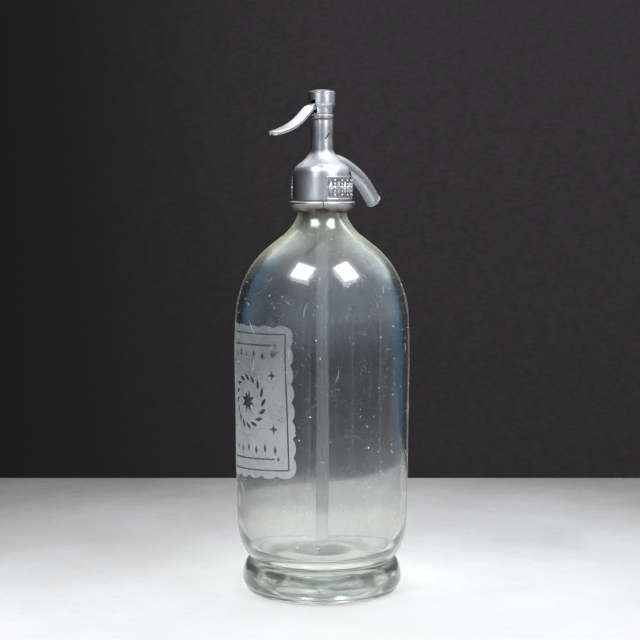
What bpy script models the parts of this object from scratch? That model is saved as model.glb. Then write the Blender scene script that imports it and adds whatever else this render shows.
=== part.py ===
# Soda siphon: glass bottle, clamp ring, and a cast head with spout, thumb lever and lift valve
# Metres, +Z up. The bottle stands on Z = 0 with its axis on Z, the spout points to +X and the lever to -X.

import math

import bmesh
import bpy
from mathutils import Matrix, Vector

mm = 0.001

# Clearances and small sizes that many pieces share
gap = 0.3 * mm
pin_gap = 0.15 * mm
overrun = 2.0 * mm
weld = 0.001 * mm
edge_round = 0.35 * mm

# How finely round pieces are divided
bottle_segments = 48
head_segments = 40
spout_segments = 20
small_segments = 24
thin_segments = 16

# Bottle: body and shoulder
body_radius = 53.6 * mm
body_middle_height = 104.0 * mm
body_wall = 4.6 * mm
shoulder_radius = 53.3 * mm
shoulder_height = 163.0 * mm
neck_radius = 14.6 * mm
neck_height = 231.3 * mm
neck_bore_radius = 9.2 * mm
shoulder_radius_shares = (0.0, 0.015, 0.072, 0.235, 0.472, 0.665, 0.824, 0.923, 0.982, 1.0)
shoulder_height_shares = (0.0, 0.145, 0.287, 0.501, 0.662, 0.751, 0.823, 0.893, 0.955, 1.0)

# Bottle: heel, crease, foot ring and push-up
heel_radius = 52.8 * mm
heel_height = 58.0 * mm
crease_radius = 44.1 * mm
foot_height = 18.0 * mm
foot_radius = 48.94 * mm
rim_radius = 47.0 * mm
rim_height = 2.9 * mm
rim_edge = 1.0 * mm
contact_inner_radius = 41.5 * mm
punt_height = 11.0 * mm
floor_height = 23.0 * mm
heel_radius_shares = (0.0, 0.12, 0.39, 0.61, 0.82, 0.943, 1.0)
heel_height_shares = (0.0, 0.064, 0.158, 0.252, 0.42, 0.626, 1.0)
foot_radius_shares = (0.0, 0.52, 0.84, 1.0, 0.985, 0.84)
foot_height_shares = (1.0, 0.88, 0.71, 0.46, 0.31, 0.2)
punt_radius_shares = (1.0, 0.97, 0.9, 0.72, 0.43, 0.0)
punt_height_shares = (0.0, 0.08, 0.38, 0.69, 0.91, 1.0)
floor_radius_shares = (0.0, 0.27, 0.56, 0.73, 0.9, 0.975, 1.0)
floor_height_shares = (0.0, -0.02, -0.07, -0.03, 0.13, 0.37, 1.0)

# Bottle: finish, from the groove under the clamp ring to the lip
groove_radius = 12.4 * mm
groove_low = 2.5 * mm
groove_high = 7.1 * mm
lip_radius = 15.0 * mm
lip_low = 8.1 * mm
lip_rise = 14.7 * mm
lip_round = 1.1 * mm

# Dip tube and the ferrule that hangs it in the neck
tube_radius = 4.0 * mm
tube_bore_radius = 2.6 * mm
tube_foot_clearance = 4.5 * mm
sleeve_wall = 1.7 * mm
sleeve_length = 9.7 * mm
holder_wall = 1.9 * mm
holder_length = 12.6 * mm
holder_passage_radius = 2.6 * mm
flange_radius = 13.9 * mm
flange_thickness = 2.0 * mm
holder_web = 1.6 * mm
neck_gasket_thickness = 2.0 * mm
head_gasket_thickness = 1.2 * mm

# Clamp ring in two halves, and its packing
ring_lift = 0.6 * mm
ring_radius = 20.06 * mm
ring_foot_radius = 16.5 * mm
ring_thread_radius = 16.4 * mm
ring_thread_wall = 1.1 * mm
ring_low_lip = 0.5 * mm
ring_bevel = 1.3 * mm
ring_grip_wall = 1.5 * mm
ring_flange_height = 6.0 * mm
ring_thread_height = 13.5 * mm
ring_edge_radius_shares = (0.0, 0.42, 0.79, 1.0, 0.83, 0.67)
ring_edge_height_shares = (0.0, 0.3, 0.55, 0.72, 0.93, 1.0)
ring_seam = 0.5 * mm
ring_seam_angle = math.radians(44)
packing_wall = 0.9 * mm

# Head: skirt, dome and column, with the valve chamber
skirt_radius = 18.14 * mm
skirt_straight = 9.8 * mm
dome_height = 22.5 * mm
column_radius = 7.0 * mm
column_top_height = 287.1 * mm
seat_web = 3.6 * mm
seat_rise = 1.0 * mm
seat_wall = 0.8 * mm
seat_bore_radius = 2.4 * mm
chamber_radius = 5.0 * mm
dome_radius_shares = (0.0, 0.015, 0.07, 0.16, 0.34, 0.52, 0.68, 0.81, 0.92, 0.98, 1.0)
dome_height_shares = (0.0, 0.24, 0.36, 0.45, 0.54, 0.61, 0.68, 0.755, 0.83, 0.91, 1.0)

# Spout, from its socket in the dome to its mouth
spout_radius = 4.8 * mm
spout_bore_radius = 3.7 * mm
spout_root = 8.4 * mm
spout_reach = 48.6 * mm
spout_rise = 5.9 * mm
spout_drop = 24.6 * mm
spout_port_radius = 3.0 * mm
spout_bead = 0.3 * mm
spout_bead_length = 1.3 * mm
spout_socket_share = 0.5
spout_reach_shares = (0.0, 0.12, 0.24, 0.38, 0.555, 0.72, 0.86, 1.0)
spout_drop_shares = (0.0, 0.025, 0.08, 0.178, 0.325, 0.515, 0.74, 1.0)

# Valve: washer, cup, screw and stem
washer_radius = 3.7 * mm
washer_bore_radius = 1.1 * mm
washer_thickness = 2.0 * mm
cup_radius = 4.5 * mm
cup_thickness = 1.2 * mm
cup_rim = 1.0 * mm
screw_head_radius = 1.8 * mm
screw_head_height = 1.3 * mm
screw_radius = 0.8 * mm
screw_length = 7.4 * mm
screw_slot_width = 0.5 * mm
screw_slot_depth = 0.5 * mm
stem_low_radius = 2.0 * mm
stem_radius = 2.3 * mm
stem_collar_radius = 4.2 * mm
stem_collar_thickness = 1.2 * mm
stem_head = 2.0 * mm
stem_edge = 0.5 * mm

# Piston that keeps the soda out of the column
nut_rise = 3.9 * mm
nut_across = 3.4 * mm
nut_thickness = 2.2 * mm
leather_radius = 4.8 * mm
leather_thickness = 1.0 * mm
leather_skirt = 2.2 * mm
plate_radius = 4.5 * mm
plate_thickness = 1.0 * mm

# Return spring
spring_mean_radius = 3.5 * mm
spring_wire_radius = 0.42 * mm
spring_turns = 5
spring_points_per_turn = 9

# Lever housing: spigot, collar, cone and cup
spigot_radius = 4.7 * mm
spigot_length = 3.5 * mm
guide_bore_radius = 2.6 * mm
housing_collar_radius = 7.05 * mm
housing_waist_radius = 6.86 * mm
housing_waist_height = 4.2 * mm
housing_cone_height = 9.2 * mm
housing_radius = 8.39 * mm
housing_height = 16.2 * mm
housing_floor = 3.6 * mm
well_radius = 4.9 * mm
well_height = 10.2 * mm
mouth_radius = 6.6 * mm
rim_recess_radius = 7.95 * mm
rim_recess_depth = 0.5 * mm
cone_radius_shares = (0.0, 0.14, 0.42, 0.82, 0.94, 1.0)
cone_height_shares = (0.0, 0.34, 0.7, 0.92, 0.97, 1.1)

# Slot, hinge pin and lever
slot_width = 3.9 * mm
slot_low = 3.0 * mm
slot_high = 11.2 * mm
pivot_offset = 5.4 * mm
pivot_rise = 7.5 * mm
lever_pin_radius = 0.9 * mm
boss_radius = 2.0 * mm
nose_radius = 1.0 * mm
window_drop = 1.9 * mm
tongue_width = 1.6 * mm
lever_width = 3.3 * mm
neck_length = 9.2 * mm
neck_drop = 4.8 * mm
lever_reach = 39.1 * mm
lever_drop = 16.5 * mm
pad_width = 11.0 * mm
pad_crown = 0.9 * mm
pad_edge = 1.8 * mm
pad_lip = 1.5 * mm
pad_hollow = 1.3 * mm
neck_length_shares = (-0.14, -0.3, -0.56, -0.8, -1.0, -0.96, -0.72, -0.5, -0.3)
neck_drop_shares = (-0.42, -0.5, -0.7, -0.88, -0.9, -0.6, -0.28, 0.06, 0.3)
pad_reach_shares = (0.128, 0.14, 0.175, 0.233, 0.361, 0.501, 0.629, 0.757, 0.885, 0.96, 0.99, 1.0)
pad_drop_shares = (-0.03, -0.035, -0.005, 0.11, 0.365, 0.585, 0.732, 0.842, 0.925, 0.965, 0.985, 0.995)
pad_width_shares = (0.2, 0.42, 0.68, 0.78, 0.81, 0.88, 0.955, 1.0, 0.98, 0.78, 0.52, 0.26)
crown_shares = (-1.0, -0.94, -0.75, -0.4, 0.0, 0.4, 0.75, 0.94, 1.0)
crown_fullness_share = 0.98
hollow_first_share = 0.3
hollow_last_share = 0.93

# Cap and its lock screw
cap_plug_radius = 6.3 * mm
cap_plug_length = 2.8 * mm
cap_radius = 7.7 * mm
cap_edge = 0.45 * mm
cap_crown = 1.15 * mm
lock_screw_radius = 0.6 * mm
lock_screw_depth = 3.0 * mm
lock_screw_drop = 1.6 * mm
lock_screw_recess = 0.15 * mm
lock_screw_slot = 0.3 * mm
lock_screw_angle = math.radians(239)

# Heights that follow from the sizes above, from the neck upwards
groove_bottom_height = neck_height + groove_low
groove_top_height = neck_height + groove_high
lip_bottom_height = neck_height + lip_low
lip_top_height = neck_height + lip_rise
neck_gasket_bottom = lip_top_height + gap
flange_bottom = neck_gasket_bottom + neck_gasket_thickness + gap
flange_top = flange_bottom + flange_thickness
head_gasket_bottom = flange_top + gap
head_shoulder_height = head_gasket_bottom + head_gasket_thickness + gap
chamber_floor_height = head_shoulder_height + seat_web
seat_height = chamber_floor_height + seat_rise
washer_bottom = seat_height + gap
cup_bottom = washer_bottom + washer_thickness + gap
stem_bottom = cup_bottom + cup_thickness + gap
nut_bottom = stem_bottom + nut_rise
leather_bottom = nut_bottom + nut_thickness + gap
plate_bottom = leather_bottom + leather_thickness + gap
stem_collar_bottom = plate_bottom + plate_thickness + gap
stem_collar_top = stem_collar_bottom + stem_collar_thickness
housing_bottom = column_top_height + gap
spigot_bottom = housing_bottom - spigot_length
pivot_height = housing_bottom + pivot_rise
housing_top = housing_bottom + housing_height
window_top = pivot_height + nose_radius + gap
stem_top = window_top + stem_head
ring_bottom_height = neck_height + ring_lift
ring_flange_top = ring_bottom_height + ring_flange_height
skirt_bottom_height = ring_flange_top + gap
dome_bottom_height = skirt_bottom_height + skirt_straight
column_base_height = dome_bottom_height + dome_height
spout_height = chamber_floor_height + spout_rise
cap_seat_height = housing_top - rim_recess_depth
pivot = Vector((-pivot_offset, 0, pivot_height))


def material(name, colour, roughness, metallic, transmission=0.0):
    found = bpy.data.materials.new(name)
    found.use_nodes = True
    shader = found.node_tree.nodes["Principled BSDF"]
    shader.inputs["Base Color"].default_value = (*colour, 1)
    shader.inputs["Roughness"].default_value = roughness
    shader.inputs["Metallic"].default_value = metallic
    shader.inputs["Transmission Weight"].default_value = transmission
    found.diffuse_color = (*colour, 1)
    return found


def finished(name, mesh, look, place=(0, 0, 0), sharp=35):
    """Turns a bmesh into a named object, smooth but for its sharp edges."""
    bmesh.ops.recalc_face_normals(mesh, faces=mesh.faces)
    data = bpy.data.meshes.new(name)
    mesh.to_mesh(data)
    mesh.free()
    data.shade_smooth()
    data.set_sharp_from_angle(angle=math.radians(sharp))
    if look:
        data.materials.append(look)
    piece = bpy.data.objects.new(name, data)
    piece.location = place
    bpy.context.scene.collection.objects.link(piece)
    return piece


def along(radius_shares, height_shares, start, end):
    """Outline points at shares of the way from start to end, radius and height each by its own share."""
    return [
        (start[0] + (end[0] - start[0]) * radius_share, start[1] + (end[1] - start[1]) * height_share)
        for radius_share, height_share in zip(radius_shares, height_shares)
    ]


def smooth_line(points, steps):
    """A Catmull-Rom line through the points, with this many steps to each span."""
    knots = [Vector(point) for point in points]
    knots = [2 * knots[0] - knots[1], *knots, 2 * knots[-1] - knots[-2]]
    line = []
    for before, start, end, after in zip(knots, knots[1:], knots[2:], knots[3:]):
        for step in range(steps):
            share = step / steps
            bend = 2 * before - 5 * start + 4 * end - after
            twist = 3 * start - before - 3 * end + after
            line.append((2 * start + (end - before) * share + bend * share**2 + twist * share**3) / 2)
    line.append(knots[-2])
    return line


def arc(centre, radius, first, last, steps):
    """Points of an arc, with its angles in degrees from the outward direction."""
    angles = [math.radians(first + (last - first) * step / steps) for step in range(steps + 1)]
    return [(centre[0] + radius * math.cos(angle), centre[1] + radius * math.sin(angle)) for angle in angles]


def turned(name, outline, look, segments=small_segments, closed=True):
    """Spins an outline of (radius, height) points round Z. An open outline starts and ends on the axis."""
    mesh = bmesh.new()
    points = [mesh.verts.new((point[0], 0, point[1])) for point in outline]
    following = points[1:] + points[:1] if closed else points[1:]
    edges = [mesh.edges.new(pair) for pair in zip(points, following)]
    bmesh.ops.spin(
        mesh,
        geom=points + edges,
        axis=(0, 0, 1),
        cent=(0, 0, 0),
        angle=math.tau,
        steps=segments,
        use_merge=True,
    )
    bmesh.ops.remove_doubles(mesh, verts=mesh.verts, dist=weld)
    return finished(name, mesh, look)


def ring(name, bore, radius, bottom, top, look, segments=small_segments):
    """A plain ring with small bevels on its outer edges."""
    bevel = min(edge_round, (top - bottom) / 4, (radius - bore) / 4)
    outline = [
        (bore, bottom),
        (radius - bevel, bottom),
        (radius, bottom + bevel),
        (radius, top - bevel),
        (radius - bevel, top),
        (bore, top),
    ]
    return turned(name, outline, look, segments)


def lofted(name, sections, look, place=(0, 0, 0), closed=False, sharp=35):
    """Joins a row of loops of points with four-sided faces, and caps the ends of an open row."""
    mesh = bmesh.new()
    loops = [[mesh.verts.new(point) for point in section] for section in sections]
    following = loops[1:] + loops[:1] if closed else loops[1:]
    for loop, other in zip(loops, following):
        for corners in zip(loop, loop[1:] + loop[:1], other[1:] + other[:1], other):
            mesh.faces.new(corners)
    if not closed:
        mesh.faces.new(loops[0])
        mesh.faces.new(loops[-1])
    return finished(name, mesh, look, place, sharp)


def cylinder(name, radius, length, place, turn=None, segments=small_segments, look=None):
    """A cylinder centred on its place, along Z unless it is turned."""
    mesh = bmesh.new()
    bmesh.ops.create_cone(
        mesh,
        cap_ends=True,
        segments=segments,
        radius1=radius,
        radius2=radius,
        depth=length,
        matrix=turn or Matrix(),
    )
    return finished(name, mesh, look, place)


def block(name, size, place, turn=None):
    mesh = bmesh.new()
    bmesh.ops.create_cube(mesh, size=1, matrix=(turn or Matrix()) @ Matrix.Diagonal((*size, 1)))
    return finished(name, mesh, None, place)


def combine(piece, tool, operation="DIFFERENCE"):
    """Cuts, joins or trims a piece with a tool object, which stays out of the model."""
    modifier = piece.modifiers.new(tool.name, "BOOLEAN")
    modifier.operation = operation
    modifier.solver = "EXACT"
    modifier.object = tool
    tool.hide_render = True
    tool.display_type = "WIRE"


def shoulder_line():
    start = (shoulder_radius, shoulder_height)
    return along(shoulder_radius_shares, shoulder_height_shares, start, (neck_radius, neck_height))


def bottle_outer_line():
    """The outside of the glass from the foot's contact edge up to the lip, as outline points."""
    crease = (crease_radius, foot_height)
    foot = along(foot_radius_shares, foot_height_shares, (crease_radius, 0), (foot_radius, foot_height))
    rim = [(rim_radius, rim_height), (rim_radius, rim_edge), (rim_radius - rim_edge, 0)]
    heel = along(heel_radius_shares, heel_height_shares, crease, (heel_radius, heel_height))
    middle = [(body_radius, body_middle_height)]
    finish = [
        (groove_radius, groove_bottom_height),
        (groove_radius, groove_top_height),
        (lip_radius, lip_bottom_height),
        *arc((lip_radius - lip_round, lip_top_height - lip_round), lip_round, 0, 90, 4),
    ]
    return rim[::-1] + foot[::-1] + heel[1:] + middle + shoulder_line() + finish


def bottle_inner_line():
    """The inside of the glass from the middle of the floor up to the lip."""
    floor = along(
        floor_radius_shares, floor_height_shares, (0, floor_height), (heel_radius - body_wall, heel_height)
    )
    middle = [(body_radius - body_wall, body_middle_height)]
    shoulder = shoulder_line()
    last = len(shoulder) - 1
    neck_wall = neck_radius - neck_bore_radius
    inside = []
    for index in range(len(shoulder)):
        wall = body_wall + (neck_wall - body_wall) * index / last
        ahead = Vector(shoulder[min(index + 1, last)])
        back = Vector(shoulder[max(index - 1, 0)])
        run = (ahead - back).normalized()
        inside.append((shoulder[index][0] - run[1] * wall, shoulder[index][1] + run[0] * wall))
    bore = [(neck_bore_radius, groove_bottom_height), (neck_bore_radius, lip_top_height)]
    inside[-1] = (neck_bore_radius, neck_height)
    return floor + middle + inside + bore


def make_bottle(glass):
    punt = along(punt_radius_shares, punt_height_shares, (0, 0), (contact_inner_radius, punt_height))
    outline = punt[::-1] + bottle_outer_line() + bottle_inner_line()[::-1]
    turned("bottle", outline, glass, bottle_segments, closed=False)


def make_dip_tube(glass, rubber, metal):
    """The dip tube, its rubber sleeve and the ferrule, with a gasket on each side of the ferrule's flange."""
    sleeve_bore = tube_radius + gap
    sleeve_radius = sleeve_bore + sleeve_wall
    holder_bore = sleeve_radius + gap
    holder_radius = holder_bore + holder_wall
    shelf = flange_bottom - holder_web
    tube_top = shelf - gap
    tube_bottom = floor_height + tube_foot_clearance
    ring("dip_tube", tube_bore_radius, tube_radius, tube_bottom, tube_top, glass)
    ring("tube_sleeve", sleeve_bore, sleeve_radius, tube_top - sleeve_length, tube_top, rubber)
    outline = [
        (holder_bore, flange_bottom - holder_length),
        (holder_radius, flange_bottom - holder_length),
        (holder_radius, flange_bottom),
        (flange_radius, flange_bottom),
        (flange_radius, flange_top),
        (holder_passage_radius, flange_top),
        (holder_passage_radius, shelf),
        (holder_bore, shelf),
    ]
    turned("tube_holder", outline, metal)
    neck_gasket_top = neck_gasket_bottom + neck_gasket_thickness
    ring("neck_gasket", holder_radius + gap, flange_radius, neck_gasket_bottom, neck_gasket_top, rubber)
    head_gasket_top = head_gasket_bottom + head_gasket_thickness
    ring("head_gasket", holder_passage_radius, flange_radius, head_gasket_bottom, head_gasket_top, rubber)


def clamp_ring_outline():
    grip_radius = groove_radius + 2 * gap + packing_wall
    lip_bore = ring_thread_radius - ring_thread_wall
    foot = (ring_foot_radius, ring_bottom_height)
    edge = along(ring_edge_radius_shares, ring_edge_height_shares, foot, (ring_radius, ring_flange_top))
    return [
        (neck_radius + ring_low_lip, ring_bottom_height),
        *edge,
        (ring_thread_radius, ring_flange_top),
        (ring_thread_radius, ring_bottom_height + ring_thread_height),
        (lip_bore, ring_bottom_height + ring_thread_height),
        (lip_bore, lip_bottom_height - gap),
        (grip_radius, groove_top_height + gap / 2),
        (grip_radius, ring_bottom_height + ring_bevel),
    ]


def make_clamp_ring(metal, packing):
    """The clamp ring's two halves, split on a slanting plane, and the packing under them."""
    span = 2 * (ring_radius + overrun)
    height = ring_thread_height + 2 * overrun
    middle = ring_bottom_height + ring_thread_height / 2
    for name, turn in (("collar_half_spout_side", 0), ("collar_half_lever_side", math.pi)):
        half = turned(name, clamp_ring_outline(), metal, head_segments)
        away = Matrix.Rotation(ring_seam_angle + turn, 4, "Z")
        # The tool covers the far half and the seam.
        centre = away @ Vector((0, span / 2 - ring_seam / 2, 0))
        combine(half, block(name + "_split", (span, span, height), centre + Vector((0, 0, middle)), away))
    bore = groove_radius + gap
    ring("collar_packing", bore, bore + packing_wall, groove_bottom_height, groove_top_height, packing)


def head_outline():
    """The casting from the skirt's foot, up the outside and down the bores."""
    foot = (skirt_radius, dome_bottom_height)
    top = (column_radius, column_base_height)
    dome = along(dome_radius_shares, dome_height_shares, foot, top)
    skirt_bore = ring_thread_radius + gap
    shoulder_bore = flange_radius + 2 * gap
    return [
        (skirt_bore, skirt_bottom_height),
        (skirt_radius - edge_round, skirt_bottom_height),
        (skirt_radius, skirt_bottom_height + edge_round),
        *dome,
        (column_radius, column_top_height - edge_round),
        (column_radius - edge_round, column_top_height),
        (chamber_radius, column_top_height),
        (chamber_radius, chamber_floor_height),
        (seat_bore_radius + seat_wall, chamber_floor_height),
        (seat_bore_radius + seat_wall / 2, seat_height),
        (seat_bore_radius, seat_height),
        (seat_bore_radius, head_shoulder_height),
        (shoulder_bore, head_shoulder_height),
        (shoulder_bore, lip_top_height + gap),
        (skirt_bore, lip_top_height + gap),
    ]


def spout_line(steps=2):
    """The spout's middle line in the XZ plane, from its socket to its mouth."""
    points = [
        (spout_root + (spout_reach - spout_root) * reach, 0, spout_height - spout_drop * drop)
        for reach, drop in zip(spout_reach_shares, spout_drop_shares)
    ]
    return smooth_line(points, steps)


def rounds(line, radii, segments):
    """Circles of points square to a line, one at each of its points."""
    sections = []
    for index, (point, radius) in enumerate(zip(line, radii)):
        run = (line[min(index + 1, len(line) - 1)] - line[max(index - 1, 0)]).normalized()
        side = Vector((0, 1, 0))
        up = side.cross(run)
        section = []
        for step in range(segments):
            angle = math.tau * step / segments
            section.append(point + radius * (side * math.cos(angle) + up * math.sin(angle)))
        sections.append(section)
    return sections


def make_head(metal):
    head = turned("head_body", head_outline(), metal, head_segments)
    line = spout_line()
    socket_floor = line[0] - Vector((gap, 0, 0))
    socket_line = [socket_floor, *line[1 : 1 + round(len(line) * spout_socket_share)]]
    socket_radius = spout_radius + gap
    sections = rounds(socket_line, [socket_radius] * len(socket_line), spout_segments)
    combine(head, lofted("head_socket", sections, None))
    port_length = spout_root + overrun
    along_x = Matrix.Rotation(math.pi / 2, 4, "Y")
    port_place = (port_length / 2, 0, spout_height)
    combine(head, cylinder("head_port", spout_port_radius, port_length, port_place, along_x, small_segments))


def make_spout(metal):
    """The spout is a tube with a bead round its mouth."""
    line = spout_line()
    run = (line[-1] - line[-2]).normalized()
    bead_start = line[-1] - run * spout_bead_length
    bead_middle = line[-1] - run * spout_bead_length / 2
    line = [*line[:-1], bead_start, bead_middle, line[-1]]
    plain = [spout_radius] * (len(line) - 2)
    outer = rounds(line, [*plain, spout_radius + spout_bead, spout_radius], spout_segments)
    inner = rounds(line, [spout_bore_radius] * len(line), spout_segments)
    lofted("spout", outer + inner[::-1], metal, closed=True)


def make_valve(brass, rubber, steel):
    """Everything at the lower end of the stem."""
    washer_top = washer_bottom + washer_thickness
    ring("valve_washer", washer_bore_radius, washer_radius, washer_bottom, washer_top, rubber)
    cup_top = cup_bottom + cup_thickness
    rim_bottom = cup_bottom - cup_rim
    outline = [
        (washer_bore_radius, cup_bottom),
        (washer_radius + gap, cup_bottom),
        (washer_radius + gap, rim_bottom),
        (cup_radius, rim_bottom),
        (cup_radius, cup_top),
        (washer_bore_radius, cup_top),
    ]
    turned("valve_cup", outline, brass)
    head_top = washer_bottom - gap
    head_bottom = head_top - screw_head_height
    outline = [
        (0, head_bottom),
        (screw_head_radius - edge_round, head_bottom),
        (screw_head_radius, head_bottom + edge_round),
        (screw_head_radius, head_top),
        (screw_radius, head_top),
        (screw_radius, head_top + screw_length),
        (0, head_top + screw_length),
    ]
    screw = turned("valve_screw", outline, steel, thin_segments, closed=False)
    slot_size = (2 * screw_head_radius + overrun, screw_slot_width, 2 * screw_slot_depth)
    combine(screw, block("valve_screw_slot", slot_size, (0, 0, head_bottom)))


def make_stem(brass):
    """The rod with its collar, the bore for the valve screw and the eye for the lever's tongue."""
    screw_bore = screw_radius + pin_gap
    screw_top = washer_bottom - gap + screw_length + gap
    outline = [
        (0, screw_top),
        (screw_bore, screw_top),
        (screw_bore, stem_bottom),
        (stem_low_radius, stem_bottom),
        (stem_low_radius, stem_collar_bottom),
        (stem_collar_radius, stem_collar_bottom),
        (stem_collar_radius, stem_collar_top),
        (stem_radius, stem_collar_top),
        (stem_radius, stem_top - stem_edge),
        (stem_radius - stem_edge, stem_top),
        (0, stem_top),
    ]
    stem = turned("valve_stem", outline, brass, small_segments, closed=False)
    window_bottom = pivot_height - window_drop
    window_size = (2 * (stem_radius + overrun), 2 * gap + tongue_width, window_top - window_bottom)
    combine(stem, block("valve_stem_window", window_size, (0, 0, (window_top + window_bottom) / 2)))


def make_piston(brass, leather):
    bore = stem_low_radius + gap
    nut_place = (0, 0, nut_bottom + nut_thickness / 2)
    nut = cylinder("piston_nut", nut_across, nut_thickness, nut_place, None, 6, brass)
    combine(nut, cylinder("piston_nut_bore", bore, nut_thickness + overrun, nut_place))
    leather_top = leather_bottom + leather_thickness
    skirt_foot = leather_bottom - leather_skirt
    skirt_bore = nut_across + gap
    outline = [
        (bore, leather_bottom),
        (skirt_bore, leather_bottom),
        (skirt_bore + edge_round, skirt_foot),
        (leather_radius, skirt_foot),
        (leather_radius, leather_top - edge_round),
        (leather_radius - edge_round, leather_top),
        (bore, leather_top),
    ]
    turned("piston_leather", outline, leather)
    ring("piston_plate", bore, plate_radius, plate_bottom, plate_bottom + plate_thickness, brass)


def make_spring(steel):
    """A round wire coil between the stem's collar and the housing's spigot."""
    low = stem_collar_top + gap + spring_wire_radius
    high = spigot_bottom - gap - spring_wire_radius
    count = spring_turns * spring_points_per_turn
    points = []
    for index in range(count + 1):
        angle = math.tau * index / spring_points_per_turn
        height = low + (high - low) * index / count
        points.append((spring_mean_radius * math.cos(angle), spring_mean_radius * math.sin(angle), height))
    pitch = (high - low) / spring_turns
    print("spring gap between turns, mm:", round((pitch - 2 * spring_wire_radius) / mm, 2))
    curve = bpy.data.curves.new("return_spring", "CURVE")
    curve.dimensions = "3D"
    curve.bevel_depth = spring_wire_radius
    curve.bevel_resolution = 1
    curve.use_fill_caps = True
    curve.materials.append(steel)
    wire = curve.splines.new("POLY")
    wire.points.add(len(points) - 1)
    for target, point in zip(wire.points, points):
        target.co = (*point, 1)
    bpy.context.scene.collection.objects.link(bpy.data.objects.new("return_spring", curve))


def housing_outer_line():
    cone = along(
        cone_radius_shares,
        cone_height_shares,
        (housing_waist_radius, housing_bottom + housing_waist_height),
        (housing_radius, housing_bottom + housing_cone_height),
    )
    return [
        (housing_collar_radius - edge_round, housing_bottom),
        (housing_collar_radius, housing_bottom + edge_round),
        *cone,
        (housing_radius, housing_top - edge_round),
        (housing_radius - edge_round / 2, housing_top),
    ]


def make_housing(metal, steel):
    """The lever housing with its slot, the hinge pin across it, and the cap with its lock screw."""
    outline = [
        *housing_outer_line(),
        (rim_recess_radius, housing_top),
        (rim_recess_radius, cap_seat_height),
        (mouth_radius, cap_seat_height),
        (mouth_radius, housing_bottom + well_height),
        (well_radius, housing_bottom + well_height),
        (well_radius, housing_bottom + housing_floor),
        (guide_bore_radius, housing_bottom + housing_floor),
        (guide_bore_radius, spigot_bottom),
        (spigot_radius, spigot_bottom),
        (spigot_radius, housing_bottom),
    ]
    housing = turned("lever_housing", outline, metal, head_segments)
    slot_length = housing_radius + overrun - pivot_offset + boss_radius
    slot_middle = -(housing_radius + overrun) + slot_length / 2
    slot_place = (slot_middle, 0, housing_bottom + (slot_low + slot_high) / 2)
    combine(housing, block("housing_slot", (slot_length, slot_width, slot_high - slot_low), slot_place))
    along_y = Matrix.Rotation(math.pi / 2, 4, "X")
    pin_length = 2 * (housing_radius + overrun)
    bore_radius = lever_pin_radius + pin_gap
    combine(housing, cylinder("housing_pin_bore", bore_radius, pin_length, pivot, along_y, thin_segments))
    pin = cylinder("lever_pin", lever_pin_radius, pin_length, pivot, along_y, thin_segments, steel)
    trim_outline = [(0, housing_bottom), *housing_outer_line(), (0, housing_top)]
    combine(pin, turned("lever_pin_trim", trim_outline, None, head_segments, closed=False), "INTERSECT")
    lock_bore = lock_screw_radius + pin_gap
    lock_turn = Matrix.Rotation(lock_screw_angle, 4, "Z") @ Matrix.Rotation(math.pi / 2, 4, "Y")
    outwards = Vector((math.cos(lock_screw_angle), math.sin(lock_screw_angle), 0))
    lock_end = housing_radius - lock_screw_recess
    lock_height = Vector((0, 0, housing_top - lock_screw_drop))
    lock_place = outwards * (lock_end - lock_screw_depth / 2) + lock_height
    bore_length = lock_screw_depth + 2 * gap
    bore_place = outwards * (lock_end - lock_screw_depth / 2 + overrun / 2 - gap) + lock_height
    lock_size = (lock_screw_radius, lock_screw_depth)
    lock = cylinder("cap_lock_screw", *lock_size, lock_place, lock_turn, thin_segments, steel)
    slot_turn = Matrix.Rotation(lock_screw_angle, 4, "Z")
    slot_size = (2 * lock_screw_slot, lock_screw_slot, 2 * lock_screw_radius + overrun)
    combine(lock, block("cap_lock_screw_slot", slot_size, outwards * lock_end + lock_height, slot_turn))
    lock_tool = cylinder("lock_bore", lock_bore, bore_length + overrun, bore_place, lock_turn, thin_segments)
    combine(housing, lock_tool)
    make_cap(metal, lock_tool)


def make_cap(metal, lock_tool):
    seat = cap_seat_height + gap
    crown_start = seat + cap_edge
    crown_radius = (cap_radius**2 + cap_crown**2) / (2 * cap_crown)
    crown_angle = math.degrees(math.asin(cap_radius / crown_radius))
    crown = arc((0, crown_start + cap_crown - crown_radius), crown_radius, 90 - crown_angle, 90, 4)
    outline = [
        (0, seat - cap_plug_length),
        (cap_plug_radius, seat - cap_plug_length),
        (cap_plug_radius, seat),
        (cap_radius, seat),
        *crown[:-1],
        (0, crown_start + cap_crown),
    ]
    combine(turned("cap", outline, metal, head_segments, closed=False), lock_tool)


def pad_sections(width_cut, top_drop, bottom_drop, first_share, last_share):
    """Cross-sections of the thumb pad, all square to its overall slope, in the lever's frame at the pivot."""
    rows = [
        (-lever_reach * reach, -lever_drop * drop, pad_width * width / 2)
        for reach, drop, width in zip(pad_reach_shares, pad_drop_shares, pad_width_shares)
    ]
    line = smooth_line(rows, 2)
    slope = Vector((line[-1][0] - line[0][0], 0, line[-1][1] - line[0][1])).normalized()
    up = Vector((slope.z, 0, -slope.x))
    sections = []
    for index, (reach, height, half) in enumerate(line):
        if not first_share <= index / (len(line) - 1) <= last_share:
            continue
        half = half - width_cut
        top = Vector((reach, 0, height)) - up * top_drop
        bottom = Vector((reach, 0, height)) - up * bottom_drop
        side = Vector((0, half, 0))
        upper = []
        for share in crown_shares:
            fall = pad_crown * (1 - math.sqrt(1 - share**2 * crown_fullness_share))
            upper.append(top + side * share - up * fall)
        sections.append([bottom - side, *upper, bottom + side])
    return sections


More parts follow.
